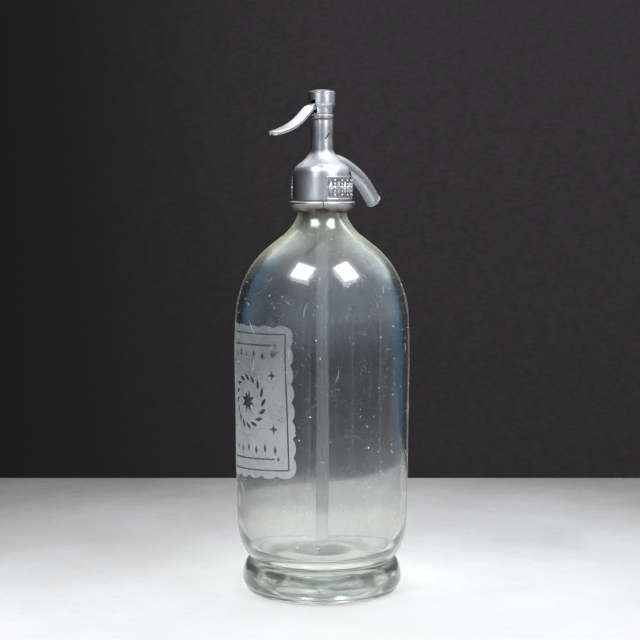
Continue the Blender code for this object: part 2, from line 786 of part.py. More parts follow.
def make_lever(metal):
    """A crowned thumb pad with a hollow underside, on a narrow neck with the hinge boss and the tongue."""
    pad_depth = pad_crown + pad_edge
    lever = lofted("lever", pad_sections(0, 0, pad_depth, 0, 1), metal, pivot, sharp=40)
    inner_arm = pivot_offset
    nose = arc((inner_arm, 0), nose_radius, -90, 90, 6)
    boss_low = arc((0, 0), boss_radius, -45, -95, 4)
    boss_high = arc((0, 0), boss_radius, 95, 45, 4)
    neck = along(neck_length_shares, neck_drop_shares, (0, 0), (neck_length, neck_drop))
    side_line = nose + boss_high[::-1] + neck[::-1] + boss_low[::-1]
    half = lever_width / 2
    sections = [[(x, y, z) for x, z in side_line] for y in (-half, half)]
    arm = lofted("lever_arm", sections, None, pivot)
    combine(lever, arm, "UNION")
    thin = (lever_width - tongue_width) / 2
    tongue_length = inner_arm + nose_radius + overrun
    for name, side in (("lever_tongue_left", 1), ("lever_tongue_right", -1)):
        place = pivot + Vector((boss_radius + tongue_length / 2, side * (tongue_width / 2 + thin), 0))
        combine(lever, block(name, (tongue_length, 2 * thin, 2 * boss_radius + overrun), place))
    along_y = Matrix.Rotation(math.pi / 2, 4, "X")
    bore_radius = lever_pin_radius + pin_gap
    combine(lever, cylinder("lever_bore", bore_radius, pad_width, pivot, along_y, thin_segments))
    hollow_top = pad_depth - pad_hollow
    hollow = pad_sections(pad_lip, hollow_top, pad_depth + overrun, hollow_first_share, hollow_last_share)
    combine(lever, lofted("lever_hollow", hollow, None, pivot))


def make_siphon():
    for old in list(bpy.data.objects):
        bpy.data.objects.remove(old)
    glass = material("clear_glass", (0.86, 0.91, 0.88), 0.03, 0, 1.0)
    metal = material("polished_pewter", (0.63, 0.64, 0.66), 0.28, 1)
    brass = material("turned_brass", (0.74, 0.57, 0.3), 0.3, 1)
    steel = material("drawn_steel", (0.55, 0.56, 0.58), 0.3, 1)
    rubber = material("black_rubber", (0.05, 0.05, 0.05), 0.6, 0)
    leather = material("waxed_leather", (0.33, 0.2, 0.11), 0.65, 0)
    packing = material("tarred_packing", (0.36, 0.27, 0.19), 0.8, 0)
    make_bottle(glass)
    make_dip_tube(glass, rubber, brass)
    make_clamp_ring(metal, packing)
    make_head(metal)
    make_spout(metal)
    make_valve(brass, rubber, steel)
    make_stem(brass)
    make_piston(brass, leather)
    make_spring(steel)
    make_housing(metal, steel)
    make_lever(metal)


make_siphon()
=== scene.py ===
import math
import random

import bmesh
import bpy
from mathutils import Matrix, Vector, noise


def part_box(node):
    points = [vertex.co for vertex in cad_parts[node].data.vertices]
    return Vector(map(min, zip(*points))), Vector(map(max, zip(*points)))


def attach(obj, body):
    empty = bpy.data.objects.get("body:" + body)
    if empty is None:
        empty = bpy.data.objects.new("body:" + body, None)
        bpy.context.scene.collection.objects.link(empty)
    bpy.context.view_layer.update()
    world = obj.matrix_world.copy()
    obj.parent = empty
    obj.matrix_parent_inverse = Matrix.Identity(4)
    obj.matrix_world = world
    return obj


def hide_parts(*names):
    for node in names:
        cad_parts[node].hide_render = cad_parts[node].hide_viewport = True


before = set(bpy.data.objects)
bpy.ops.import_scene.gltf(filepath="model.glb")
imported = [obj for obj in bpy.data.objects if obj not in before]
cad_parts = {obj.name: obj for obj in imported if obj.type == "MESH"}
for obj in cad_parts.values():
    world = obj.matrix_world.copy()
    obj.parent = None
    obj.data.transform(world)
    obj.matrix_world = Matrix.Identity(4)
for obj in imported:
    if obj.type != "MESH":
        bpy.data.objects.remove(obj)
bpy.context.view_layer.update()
mm = 0.001
print("frame loaded:", len(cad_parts), "nodes")


# small helpers for outlines and meshes


def smoothLine(points, steps):
    # a curve through the points that allows for their uneven spacing
    knots = [Vector(point) for point in points]
    spans = [(b - a).length for a, b in zip(knots, knots[1:])]
    slopes = [(b - a) / span for a, b, span in zip(knots, knots[1:], spans)]
    tangents = [slopes[0]]
    for i in range(1, len(slopes)):
        tangents.append((slopes[i - 1] * spans[i] + slopes[i] * spans[i - 1]) / (spans[i] + spans[i - 1]))
    tangents.append(slopes[-1])
    line = []
    for i, span in enumerate(spans):
        for step in range(steps):
            t = step / steps
            line.append(
                knots[i] * (1 + 2 * t) * (1 - t) ** 2
                + knots[i + 1] * t * t * (3 - 2 * t)
                + (tangents[i] * t * (1 - t) ** 2 - tangents[i + 1] * t * t * (1 - t)) * span
            )
    line.append(knots[-1])
    return [tuple(point) for point in line]


def arc(centre, radius, first, last, steps):
    angles = [math.radians(first + (last - first) * i / steps) for i in range(steps + 1)]
    return [(centre[0] + radius * math.cos(a), centre[1] + radius * math.sin(a)) for a in angles]


def between(radiusShares, heightShares, start, end):
    return [
        (start[0] + (end[0] - start[0]) * r, start[1] + (end[1] - start[1]) * h)
        for r, h in zip(radiusShares, heightShares)
    ]


def curveBetween(radiusShares, heightShares, start, end, steps):
    return smoothLine(between(radiusShares, heightShares, start, end), steps)


def runAt(line, i):
    # the way that a line runs at one of its points
    return (Vector(line[min(i + 1, len(line) - 1)]) - Vector(line[max(i - 1, 0)])).normalized()


def radiusAt(line, height):
    for low, high in zip(line, line[1:]):
        if low[1] <= height <= high[1]:
            return low[0] + (high[0] - low[0]) * (height - low[1]) / max(high[1] - low[1], 1e-9)
    return line[-1][0]


def polar(radius, angle, height):
    return Vector((radius * math.cos(angle), radius * math.sin(angle), height))


def spun(outline, segments, closed=True):
    # a full turn of an outline of (radius, height) round Z
    bm = bmesh.new()
    verts = [bm.verts.new((p[0], 0, p[1])) for p in outline]
    following = verts[1:] + verts[:1] if closed else verts[1:]
    edges = [bm.edges.new(pair) for pair in zip(verts, following)]
    bmesh.ops.spin(
        bm, geom=verts + edges, axis=(0, 0, 1), cent=(0, 0, 0), angle=math.tau, steps=segments, use_merge=True
    )
    bmesh.ops.remove_doubles(bm, verts=bm.verts, dist=0.002 * mm)
    bmesh.ops.recalc_face_normals(bm, faces=bm.faces)
    return bm


def spunPart(outline, segments, firstAngle, lastAngle):
    # part of a turn, closed at both ends
    bm = bmesh.new()
    verts = [bm.verts.new((p[0], 0, p[1])) for p in outline]
    face = bm.faces.new(verts)
    bmesh.ops.rotate(bm, verts=verts, cent=(0, 0, 0), matrix=Matrix.Rotation(firstAngle, 3, "Z"))
    bmesh.ops.spin(
        bm,
        geom=[face, *face.edges, *verts],
        axis=(0, 0, 1),
        cent=(0, 0, 0),
        angle=lastAngle - firstAngle,
        steps=segments,
    )
    bmesh.ops.recalc_face_normals(bm, faces=bm.faces)
    return bm


def drawThrough(bm, loops, around=True):
    # draws a line of edges out through one row of points after another
    row = [bm.verts.new(point) for point in loops[0]]
    edges = [bm.edges.new(pair) for pair in zip(row, row[1:] + row[:1] if around else row[1:])]
    faces = []
    for loop in loops[1:]:
        made = bmesh.ops.extrude_edge_only(bm, edges=edges)["geom"]
        fresh = {item for item in made if isinstance(item, bmesh.types.BMVert)}
        row = [next(v for v in (edge.other_vert(vert) for edge in vert.link_edges) if v in fresh) for vert in row]
        for vert, point in zip(row, loop):
            vert.co = point
        edges = [item for item in made if isinstance(item, bmesh.types.BMEdge) and fresh.issuperset(item.verts)]
        faces += [item for item in made if isinstance(item, bmesh.types.BMFace)]
    return faces


def lofted(loops, closed=False):
    # a skin through loops of points, either joined end to end or capped
    bm = bmesh.new()
    drawThrough(bm, loops + loops[:1] if closed else loops)
    if closed:
        bmesh.ops.remove_doubles(bm, verts=bm.verts, dist=0.0001 * mm)
    else:
        bmesh.ops.holes_fill(bm, edges=bm.edges)
    bmesh.ops.recalc_face_normals(bm, faces=bm.faces)
    return bm


def bendRounds(line, radii, segments):
    # circles square to a line that lies in the XZ plane
    across = Vector((0, 1, 0))
    turns = [math.tau * k / segments for k in range(segments)]
    loops = []
    for i, (point, radius) in enumerate(zip(line, radii)):
        up = across.cross(runAt(line, i))
        loops.append([point + radius * (across * math.cos(turn) + up * math.sin(turn)) for turn in turns])
    return loops


def meshFrom(name, bm):
    mesh = bpy.data.meshes.new(name)
    bm.to_mesh(mesh)
    bm.free()
    return mesh


def inScene(name, data):
    made = bpy.data.objects.new(name, data)
    bpy.context.scene.collection.objects.link(made)
    return made


def piece(name, bm, finish, body, sharp=38, stands=()):
    mesh = meshFrom(name, bm)
    mesh.shade_smooth()
    mesh.set_sharp_from_angle(angle=math.radians(sharp))
    mesh.materials.append(finish)
    made = inScene(name, mesh)
    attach(made, body)
    if stands:
        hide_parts(*stands)
    return made


def cutWith(made, bm, sharp, operation="DIFFERENCE"):
    # cuts a piece with another shape at once, so that nothing of the tool stays in the scene
    tool = inScene("cutter", meshFrom("cutter", bm))
    modifier = made.modifiers.new("cut", "BOOLEAN")
    modifier.operation = operation
    modifier.solver = "EXACT"
    modifier.object = tool
    bpy.context.view_layer.update()
    result = bpy.data.meshes.new_from_object(made.evaluated_get(bpy.context.evaluated_depsgraph_get()))
    made.modifiers.clear()
    spent = (made.data, tool.data)
    made.data = result
    result.name = made.name
    bpy.data.objects.remove(tool)
    for mesh in spent:
        bpy.data.meshes.remove(mesh)
    result.set_sharp_from_angle(angle=math.radians(sharp))


# node helpers: each works in the tree that its wires come from


def feed(node, values):
    # ties a node's inputs to wires, or sets them to plain values
    for name, value in values.items():
        socket = node.inputs[name]
        if isinstance(value, bpy.types.NodeSocket):
            node.id_data.links.new(value, socket)
        else:
            socket.default_value = (*value, 1) if socket.type == "RGBA" else value


def addNode(tree, kind, values, **settings):
    made = tree.nodes.new("ShaderNode" + kind)
    for name, setting in settings.items():
        setattr(made, name, setting)
    feed(made, values)
    return made


def calc(operation, a, b=0.0, clamp=False):
    tree = (a if isinstance(a, bpy.types.NodeSocket) else b).id_data
    return addNode(tree, "Math", {0: a, 1: b}, operation=operation, use_clamp=clamp).outputs[0]


def plus(total, *others):
    for other in others:
        total = calc("ADD", total, other)
    return total


def times(product, *others):
    for other in others:
        product = calc("MULTIPLY", product, other)
    return product


def minus(a, b, clamp=False):
    return calc("SUBTRACT", a, b, clamp)


def stretch(vector, scale, turn=(0, 0, 0), move=(0, 0, 0), kind="POINT"):
    values = {"Vector": vector, "Scale": scale, "Rotation": turn, "Location": move}
    return addNode(vector.id_data, "Mapping", values, vector_type=kind).outputs[0]


def cloud(vector, scale, detail=3.0, rough=0.55):
    values = {"Vector": vector, "Scale": scale, "Detail": detail, "Roughness": rough}
    return addNode(vector.id_data, "TexNoise", values).outputs["Fac"]


def remap(value, low, high, start=0.0, end=1.0):
    values = {"Value": value, "From Min": low, "From Max": high, "To Min": start, "To Max": end}
    return addNode(value.id_data, "MapRange", values, interpolation_type="SMOOTHSTEP").outputs[0]


def blendColour(share, first, second):
    return addNode(share.id_data, "Mix", {"Factor": share, 6: first, 7: second}, data_type="RGBA").outputs[2]


def bumped(height, strength, distance):
    values = {"Height": height, "Strength": strength, "Distance": distance}
    return addNode(height.id_data, "Bump", values).outputs[0]


def alongDirection(direction, axis):
    values = {0: direction, 1: axis}
    return addNode(direction.id_data, "VectorMath", values, operation="DOT_PRODUCT").outputs["Value"]


def lengthOf(vector):
    return addNode(vector.id_data, "VectorMath", {0: vector}, operation="LENGTH").outputs["Value"]


def heightOf(vector):
    return addNode(vector.id_data, "SeparateXYZ", {0: vector}).outputs["Z"]


def newGroup(name, usual, results):
    # usual maps each input to its usual value, which is None for a vector
    group = bpy.data.node_groups.new(name, "ShaderNodeTree")
    for label, value in usual.items():
        kind = "NodeSocketVector" if value is None else "NodeSocketFloat"
        socket = group.interface.new_socket(name=label, in_out="INPUT", socket_type=kind)
        if value is not None:
            socket.default_value = value
    for label in results:
        group.interface.new_socket(name=label, in_out="OUTPUT", socket_type="NodeSocketFloat")
    given = group.nodes.new("NodeGroupInput")
    return group, [given.outputs[label] for label in usual], group.nodes.new("NodeGroupOutput")


def useGroup(tree, group, **values):
    made = addNode(tree, "Group", {}, node_tree=group)
    feed(made, values)
    return made.outputs


def startMaterial(name, shown):
    made = bpy.data.materials.new(name)
    made.use_nodes = True
    made.diffuse_color = (*shown, 1)
    tree = made.node_tree
    return made, tree.nodes["Principled BSDF"], tree.nodes.new("ShaderNodeTexCoord").outputs["Object"]


# shared effects


def buildHairlines():
    # fine scratches in crossing directions, gathered in patches
    usual = {"Vector": None, "Fineness": 60.0, "Width": 0.02}
    group, (vector, fineness, width), out = newGroup("hairlines", usual, ["Mask"])
    lines = []
    for scale, turn in (((1, 9, 3), (0.4, 0.2, 0.9)), ((7, 1, 4), (1.1, 0.5, 0.3)), ((2, 3, 16), (0.2, 1.2, 0.1))):
        grain = cloud(stretch(vector, scale, turn), fineness, 1.0, 0.4)
        lines.append(remap(calc("ABSOLUTE", minus(grain, 0.5)), 0.0, width, 1.0, 0.0))
    crossed = calc("MAXIMUM", calc("MAXIMUM", lines[0], lines[1]), lines[2])
    feed(out, {"Mask": times(crossed, remap(cloud(vector, 90.0, 2.0), 0.42, 0.62))})
    return group


def buildTarnish():
    # soft uneven clouds with darker blotches
    usual = {"Vector": None, "Size": 80.0, "Cover": 0.5}
    group, (vector, size, cover), out = newGroup("tarnish", usual, ["Mask", "Spots"])
    edge = minus(1.0, cover)
    feed(out, {
        "Mask": remap(cloud(vector, size, 4.0, 0.6), minus(edge, 0.12), plus(edge, 0.2)),
        "Spots": remap(cloud(vector, times(size, 9.0), 2.0, 0.5), 0.62, 0.72),
    })
    return group


def buildRubbed():
    # bright worn outer edges, and dark inner corners that hold grime and painted shade
    group, (reach,), out = newGroup("rubbed", {"Reach": 0.06}, ["Edge", "Corner"])
    shape = group.nodes.new("ShaderNodeNewGeometry").outputs["Pointiness"]
    feed(out, {
        "Edge": remap(shape, 0.51, plus(0.51, reach)),
        "Corner": remap(shape, minus(0.49, reach), 0.49, 1.0, 0.0),
    })
    return group


def buildMark():
    # one soft-edged mark at a place: the vector comes in centred and scaled on it
    group, (vector, ragged), out = newGroup("mark", {"Vector": None, "Ragged": 0.3}, ["Mask"])
    wander = times(minus(cloud(vector, 3.0), 0.5), ragged)
    feed(out, {"Mask": remap(plus(lengthOf(vector), wander), 0.6, 1.0, 1.0, 0.0)})
    return group


hairlines = buildHairlines()
tarnish = buildTarnish()
rubbed = buildRubbed()
mark = buildMark()
print("shared effects ready")


# metals


def makeHeadMetal(name, look):
    made, shader, place = startMaterial(name, look["colour"])
    tree = made.node_tree
    clouds = useGroup(tree, tarnish, Vector=place, Size=look["cloudSize"], Cover=look["dull"])
    fineness, width = look["scratchSize"], look["scratchWidth"]
    scratches = useGroup(tree, hairlines, Vector=place, Fineness=fineness, Width=width)[0]
    wearAndCornerShade = useGroup(tree, rubbed, Reach=look["edgeReach"])
    colour = look["colour"]
    for share, shade in (
        (clouds["Mask"], "dullColour"),
        (times(clouds["Spots"], 0.35), "spotColour"),
        (times(scratches, 0.3), "spotColour"),
        (wearAndCornerShade["Edge"], "edgeColour"),
        # the inner corners darken with grime and painted shade
        (times(wearAndCornerShade["Corner"], look["cornerGrimeAndShade"]), "grimeAndShadeColour"),
    ):
        colour = blendColour(share, colour, look[shade])
    rough = plus(look["roughness"], times(clouds["Mask"], look["dullRoughness"]))
    rough = minus(rough, times(wearAndCornerShade["Edge"], 0.08))
    height = times(cloud(place, look["castSize"], 3.0), look["castDepth"])
    turned = cloud(stretch(place, (0.04, 0.04, 1)), look["grooveSize"], 2.0)
    height = minus(plus(height, times(turned, look["grooveDepth"])), times(scratches, 0.12))
    rise = heightOf(place)
    for level, half, strength in look["grimeAndShadeBands"]:
        # darker bands, uneven round it: grime in the joints, and painted shade on the column under the housing and
        # under the ring's bead
        off = calc("ABSOLUTE", minus(rise, level * mm))
        darkBand = times(
            remap(off, 0.0, half * mm, strength, 0.0), remap(cloud(place, 260.0, 3.0), 0.3, 0.6, 0.45, 1.0)
        )
        colour = blendColour(darkBand, colour, look["grimeAndShadeColour"])
        rough = plus(rough, times(darkBand, 0.3))
    for (radius, angle, level), slant, size, ragged, strength, shade, depth in look["marks"]:
        # x points out of the surface, y goes round it and z up it, leaning by the slant
        angle = math.radians(angle)
        turn = Matrix.Rotation(angle, 3, "Z") @ Matrix.Rotation(math.radians(slant), 3, "X")
        centre = polar(radius * mm, angle, level * mm)
        centred = stretch(place, [length * mm for length in size], turn.to_euler(), centre, "TEXTURE")
        spot = useGroup(tree, mark, Vector=centred, Ragged=ragged)[0]
        colour = blendColour(times(spot, strength), colour, shade)
        height = minus(height, times(spot, depth))
        rough = plus(rough, times(spot, 0.15))
    feed(shader, {
        "Base Color": colour,
        "Roughness": rough,
        "Normal": bumped(height, look["bump"], 0.2 * mm),
        "Metallic": 1,
    })
    if look["stretched"]:
        # turned on a lathe: the light stretches across the tool lines, least where the surface leans
        leaning = calc("ABSOLUTE", heightOf(tree.nodes["Texture Coordinate"].outputs["Normal"]))
        feed(shader, {
            "Tangent": addNode(tree, "Tangent", {}, direction_type="RADIAL", axis="Z").outputs[0],
            "Anisotropic": remap(leaning, 0.12, 0.45, look["stretched"], 0.1),
            "Anisotropic Rotation": look["stretchTurn"],
        })
    return made


castLook = {
    "colour": (0.765, 0.79, 0.84),
    "dullColour": (0.64, 0.67, 0.72),
    "spotColour": (0.42, 0.42, 0.44),
    "edgeColour": (0.88, 0.89, 0.9),
    "grimeAndShadeColour": (0.07, 0.058, 0.05),
    "roughness": 0.4,
    "dullRoughness": 0.05,
    "stretched": 0.95,
    "stretchTurn": 0.25,
    "cloudSize": 70.0,
    "dull": 0.5,
    "scratchSize": 55.0,
    "scratchWidth": 0.012,
    "edgeReach": 0.09,
    "cornerGrimeAndShade": 0.85,
    "castSize": 700.0,
    "castDepth": 0.3,
    "grooveSize": 900.0,
    "grooveDepth": 0.5,
    "bump": 0.25,
    # height and half height in millimetres, and strength
    # the joint bands are grime and painted shade; the two wide bands on the column under the housing are painted
    # shade with some grime
    "grimeAndShadeBands": [(286.9, 0.9, 0.8), (237.9, 0.7, 0.8), (278.0, 10.5, 0.36), (268.4, 4.6, 0.3)],
    # radius, angle and height, slant, size in millimetres, raggedness, strength, colour, depth
    "marks": [
        ((7.0, 254, 277.6), -42, (2.0, 0.45, 3.0), 0.9, 0.95, (0.07, 0.07, 0.075), 2.5),
        ((7.0, 245, 276.0), -48, (2.0, 0.34, 1.9), 0.9, 0.9, (0.1, 0.1, 0.105), 2.0),
        ((8.3, 203, 302.9), 80, (1.6, 0.34, 2.6), 1.1, 0.95, (0.05, 0.045, 0.04), 1.5),
        ((8.3, 226, 303.1), 97, (1.6, 0.26, 1.9), 1.1, 0.95, (0.05, 0.045, 0.04), 1.5),
        ((8.3, 243, 302.3), 20, (1.6, 0.3, 0.7), 1.0, 0.9, (0.06, 0.055, 0.05), 1.2),
        ((7.0, 254, 293.2), 62, (1.6, 0.3, 1.7), 0.7, 0.8, (0.15, 0.15, 0.155), 1.6),
        ((7.0, 262, 290.4), 58, (1.6, 0.25, 1.1), 0.7, 0.7, (0.2, 0.2, 0.21), 1.2),
        ((15.8, 220, 258.4), 80, (2.4, 1.0, 2.4), 0.9, 0.6, (0.3, 0.29, 0.285), 0.8),
        ((7.0, 226, 289.2), 0, (3.0, 6.5, 2.0), 0.8, 0.5, (0.27, 0.215, 0.17), 0.1),
        ((15.5, 160, 260.5), 0, (3.0, 5.5, 2.4), 0.9, 0.45, (0.55, 0.46, 0.37), 0.1),
    ],
}
plainLook = dict(castLook, stretched=0.0, marks=[])
# the spout's metal is a darker copy of the cast metal: painted shade
spoutLook = dict(plainLook, colour=(0.66, 0.68, 0.72), roughness=0.42, grooveDepth=0.0, grimeAndShadeBands=[])
# the lever's and cap's metal is a lighter copy of the cast metal: painted light
leverLook = dict(
    spoutLook, colour=(0.9, 0.9, 0.905), dullColour=(0.78, 0.785, 0.79), roughness=0.36, dull=0.45
)
collarLook = dict(
    castLook,
    colour=(0.7, 0.7, 0.72),
    grimeAndShadeColour=(0.24, 0.15, 0.115),
    roughness=0.34,
    # the wide band darkens the ring's lower cone under the bead: grime and painted shade
    grimeAndShadeBands=[(232.2, 4.0, 1.0), (238.0, 0.6, 0.8)],
    marks=[((18.0, 224, 232.6), 0, (5.5, 5.5, 1.5), 0.8, 0.75, (0.16, 0.1, 0.065), 0.3)],
)
headMetal = makeHeadMetal("castHeadMetal", castLook)
spoutMetal = makeHeadMetal("castSpoutShadedMetal", spoutLook)
leverMetal = makeHeadMetal("thumbPaintedLightMetal", leverLook)
collarMetal = makeHeadMetal("clampRingMetal", collarLook)
# the band's sunken ground and pebbles are darker: grime and painted shade in the recess
grimeAndShadeLook = dict(plainLook, colour=(0.5, 0.51, 0.53), dullColour=(0.3, 0.3, 0.31))
groundMetal = makeHeadMetal("grimeAndShadeBandMetal", grimeAndShadeLook)


def makeTurnedMetal(name, colour, dark, roughness, ringSize):
    # turned metal for the small parts inside, with tool rings and dull patches
    made, shader, place = startMaterial(name, colour)
    dull = useGroup(made.node_tree, tarnish, Vector=place, Size=160.0, Cover=0.5)["Mask"]
    feed(shader, {
        "Base Color": blendColour(dull, colour, dark),
        "Roughness": plus(roughness, times(dull, 0.15)),
        "Normal": bumped(cloud(stretch(place, (1, 1, ringSize)), 150.0, 2.0), 0.12, 0.05 * mm),
        "Metallic": 1,
    })
    return made


brass = makeTurnedMetal("turnedBrass", (0.72, 0.55, 0.28), (0.42, 0.31, 0.17), 0.28, 30.0)
steel = makeTurnedMetal("drawnSteel", (0.5, 0.5, 0.52), (0.25, 0.23, 0.22), 0.3, 22.0)


def makeSoftStuff(name, colour, other, roughness, grainSize, grainDepth):
    # rubber, leather and packing: one grain at different sizes
    made, shader, place = startMaterial(name, colour)
    grain = cloud(place, grainSize, 4.0, 0.6)
    feed(shader, {
        "Base Color": blendColour(remap(cloud(place, grainSize * 0.12, 2.0), 0.35, 0.65), colour, other),
        "Roughness": remap(grain, 0.3, 0.7, roughness - 0.1, roughness + 0.1),
        "Normal": bumped(grain, grainDepth, 0.1 * mm),
    })
    return made


rubber = makeSoftStuff("blackRubber", (0.035, 0.035, 0.037), (0.07, 0.068, 0.065), 0.6, 2500.0, 0.15)
leather = makeSoftStuff("waxedLeather", (0.27, 0.16, 0.09), (0.18, 0.1, 0.055), 0.6, 1800.0, 0.4)
packing = makeSoftStuff("tarredPacking", (0.3, 0.22, 0.15), (0.16, 0.12, 0.09), 0.8, 1400.0, 0.6)
print("metals and soft stuffs ready")


# glass


glassLook = {
    "tint": (0.975, 0.985, 0.975),
    "neckTint": (0.93, 0.945, 0.84),
    "neckLow": 196.0 * mm,
    "neckHigh": 232.0 * mm,
    "roughness": 0.02,
    "insideRoughness": 0.045,
    "index": 1.5,
    "depthColour": (0.62, 0.8, 0.63),
    "depth": 8.0,
    "waves": 26.0,
    "unevenFoot": 1.0,
    "polish": 1.0,
    "polishRoughness": 0.13,
    "polishIndex": 1.75,
}


def makeGlass(name, look):
    made, shader, place = startMaterial(name, look["tint"])
    tree = made.node_tree
    scratches = useGroup(tree, hairlines, Vector=place, Fineness=22.0, Width=0.006)[0]
    inside = addNode(tree, "Attribute", {}, attribute_name="inside").outputs["Fac"]
    rise = heightOf(place)
    shade = blendColour(remap(rise, look["neckLow"], look["neckHigh"]), look["tint"], look["neckTint"])
    haze = remap(cloud(place, 45.0, 4.0), 0.5, 0.8)
    shade = blendColour(times(haze, 0.5), shade, tuple(c * 0.97 for c in look["tint"]))
    slow = cloud(stretch(place, (1, 1, 0.45)), look["waves"], 1.0)
    drawn = cloud(stretch(place, (1, 1, 0.05)), 380.0, 2.0)
    # the thick foot is less even than the walls
    foot = remap(rise, 16 * mm, 26 * mm, 1.0, 0.0)
    uneven = cloud(stretch(place, (1, 1, 1.6)), 75.0, 3.0, 0.6)
    height = plus(slow, times(drawn, inside, 0.12), times(uneven, foot, look["unevenFoot"]))
    feed(shader, {
        "Base Color": shade,
        "Roughness": plus(look["roughness"], times(scratches, 0.25), times(inside, look["insideRoughness"])),
        "Normal": bumped(height, 0.08, 1.0 * mm),
        "Coat Weight": minus(look["polish"], inside, clamp=True),
        "Coat Roughness": look["polishRoughness"],
        "Coat IOR": look["polishIndex"],
        "Transmission Weight": 1,
        "IOR": look["index"],
    })
    absorb = addNode(tree, "VolumeAbsorption", {"Color": look["depthColour"], "Density": look["depth"]})
    feed(tree.nodes["Material Output"], {"Volume": absorb.outputs[0]})
    return made


bottleGlass = makeGlass("pressedBottleGlass", glassLook)


def makeTubeGlass():
    # the dip tube is clouded by dried soda, so part of it scatters light
    made, shader, place = startMaterial("cloudedTubeGlass", (0.7, 0.76, 0.82))
    streaks = cloud(stretch(place, (1, 1, 0.03)), 900.0, 3.0)
    feed(shader, {
        "Base Color": blendColour(streaks, (0.955, 0.972, 0.99), (0.985, 0.99, 0.995)),
        "Roughness": remap(streaks, 0.3, 0.7, 0.05, 0.2),
        "Normal": bumped(streaks, 0.1, 0.3 * mm),
        "Transmission Weight": 0.982,
        "IOR": 1.5,
    })
    return made


tubeGlass = makeTubeGlass()


# bottle


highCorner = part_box("bottle")[1]
bottle = {
    "segments": 160,
    "bodyRadius": highCorner.x - 0.66 * mm,
    "middleHeight": 104.0 * mm,
    "wall": 3.8 * mm,
    "shoulderRadius": 53.05 * mm,
    "shoulderHeight": 163.0 * mm,
    "neckRadius": 14.6 * mm,
    "neckHeight": highCorner.z - 14.7 * mm,
    "neckBore": 9.2 * mm,
    "heelRadius": 52.6 * mm,
    "heelHeight": 58.0 * mm,
    "creaseRadius": 44.3 * mm,
    "footHeight": 18.0 * mm,
    "footRadius": 48.9 * mm,
    "rimRadius": 47.0 * mm,
    "contactRadius": 41.5 * mm,
    "puntHeight": 11.0 * mm,
    "floorHeight": 23.0 * mm,
    "rimEdge": 1.2 * mm,
    "grooveRadius": 12.4 * mm,
    "lipRadius": 15.0 * mm,
    "lipEdge": 1.1 * mm,
    "ripple": 0.16 * mm,
    "rippleSize": 28,
    "settle": 0.9 * mm,
    "swellHeight": 105.0 * mm,
    "swellReach": 45.0 * mm,
    "swellTurn": 2.41,
}
shoulderRadiusShares = (0.0, 0.015, 0.072, 0.235, 0.472, 0.665, 0.824, 0.923, 0.982, 1.0)
shoulderHeightShares = (0.0, 0.145, 0.287, 0.501, 0.662, 0.751, 0.823, 0.893, 0.955, 1.0)
heelRadiusShares = (0.0, 0.12, 0.39, 0.61, 0.82, 0.943, 1.0)
heelHeightShares = (0.0, 0.064, 0.158, 0.252, 0.42, 0.626, 1.0)
footRadiusShares = (0.0, 0.3, 0.52, 0.84, 1.0, 0.985, 0.84, 0.62)
footHeightShares = (1.0, 0.965, 0.88, 0.71, 0.46, 0.31, 0.2, 0.155)
puntRadiusShares = (1.0, 0.97, 0.9, 0.72, 0.43, 0.0)
puntHeightShares = (0.0, 0.08, 0.38, 0.69, 0.91, 1.0)
floorRadiusShares = (0.0, 0.12, 0.27, 0.4, 0.56, 0.73, 0.9, 0.975, 1.0)
floorHeightShares = (0.0, 0.03, -0.02, -0.075, -0.07, -0.03, 0.13, 0.37, 1.0)


def bodyLine(steps):
    heel = between(
        heelRadiusShares, heelHeightShares,
        (bottle["creaseRadius"], bottle["footHeight"]), (bottle["heelRadius"], bottle["heelHeight"]),
    )
    shoulder = between(
        shoulderRadiusShares, shoulderHeightShares,
        (bottle["shoulderRadius"], bottle["shoulderHeight"]), (bottle["neckRadius"], bottle["neckHeight"]),
    )
    return smoothLine(heel + [(bottle["bodyRadius"], bottle["middleHeight"])] + shoulder, steps)


def footLine():
    start, end = (bottle["creaseRadius"], 0), (bottle["footRadius"], bottle["footHeight"])
    return curveBetween(footRadiusShares, footHeightShares, start, end, 4)


bodyGuide = bodyLine(6)


def outerRadiusAt(height):
    return radiusAt(bodyGuide, height)


def innerLine(steps):
    # the body's outline moved in by the wall, thicker towards the neck, then the bore
    outer = [point for point in bodyLine(steps) if point[1] > bottle["heelHeight"]]
    neckWall = bottle["neckRadius"] - bottle["neckBore"]
    inside = []
    for i, point in enumerate(outer):
        run = runAt(outer, i)
        share = max(0.0, (point[1] - bottle["shoulderHeight"]) / (bottle["neckHeight"] - bottle["shoulderHeight"]))
        wall = bottle["wall"] + (neckWall - bottle["wall"]) * share
        inside.append((point[0] - run[1] * wall, point[1] + run[0] * wall))
    inside = [point for point in inside if point[0] > bottle["neckBore"] + 0.2 * mm]
    floorEdge = (bottle["heelRadius"] - bottle["wall"], bottle["heelHeight"])
    inner = curveBetween(floorRadiusShares, floorHeightShares, (0, bottle["floorHeight"]), floorEdge, steps)
    neck = [(bottle["neckBore"], bottle["neckHeight"]), (bottle["neckBore"], highCorner.z)]
    return inner[:-1] + inside + neck


def offsetIn(line, depth):
    # moves a line of (radius, height) towards the hollow that it bounds
    moved = []
    for i, point in enumerate(line):
        run = runAt(line, i)
        moved.append((max(0.0, point[0] - run[1] * depth), point[1] + run[0] * depth))
    moved[0] = (0, moved[0][1])
    return moved


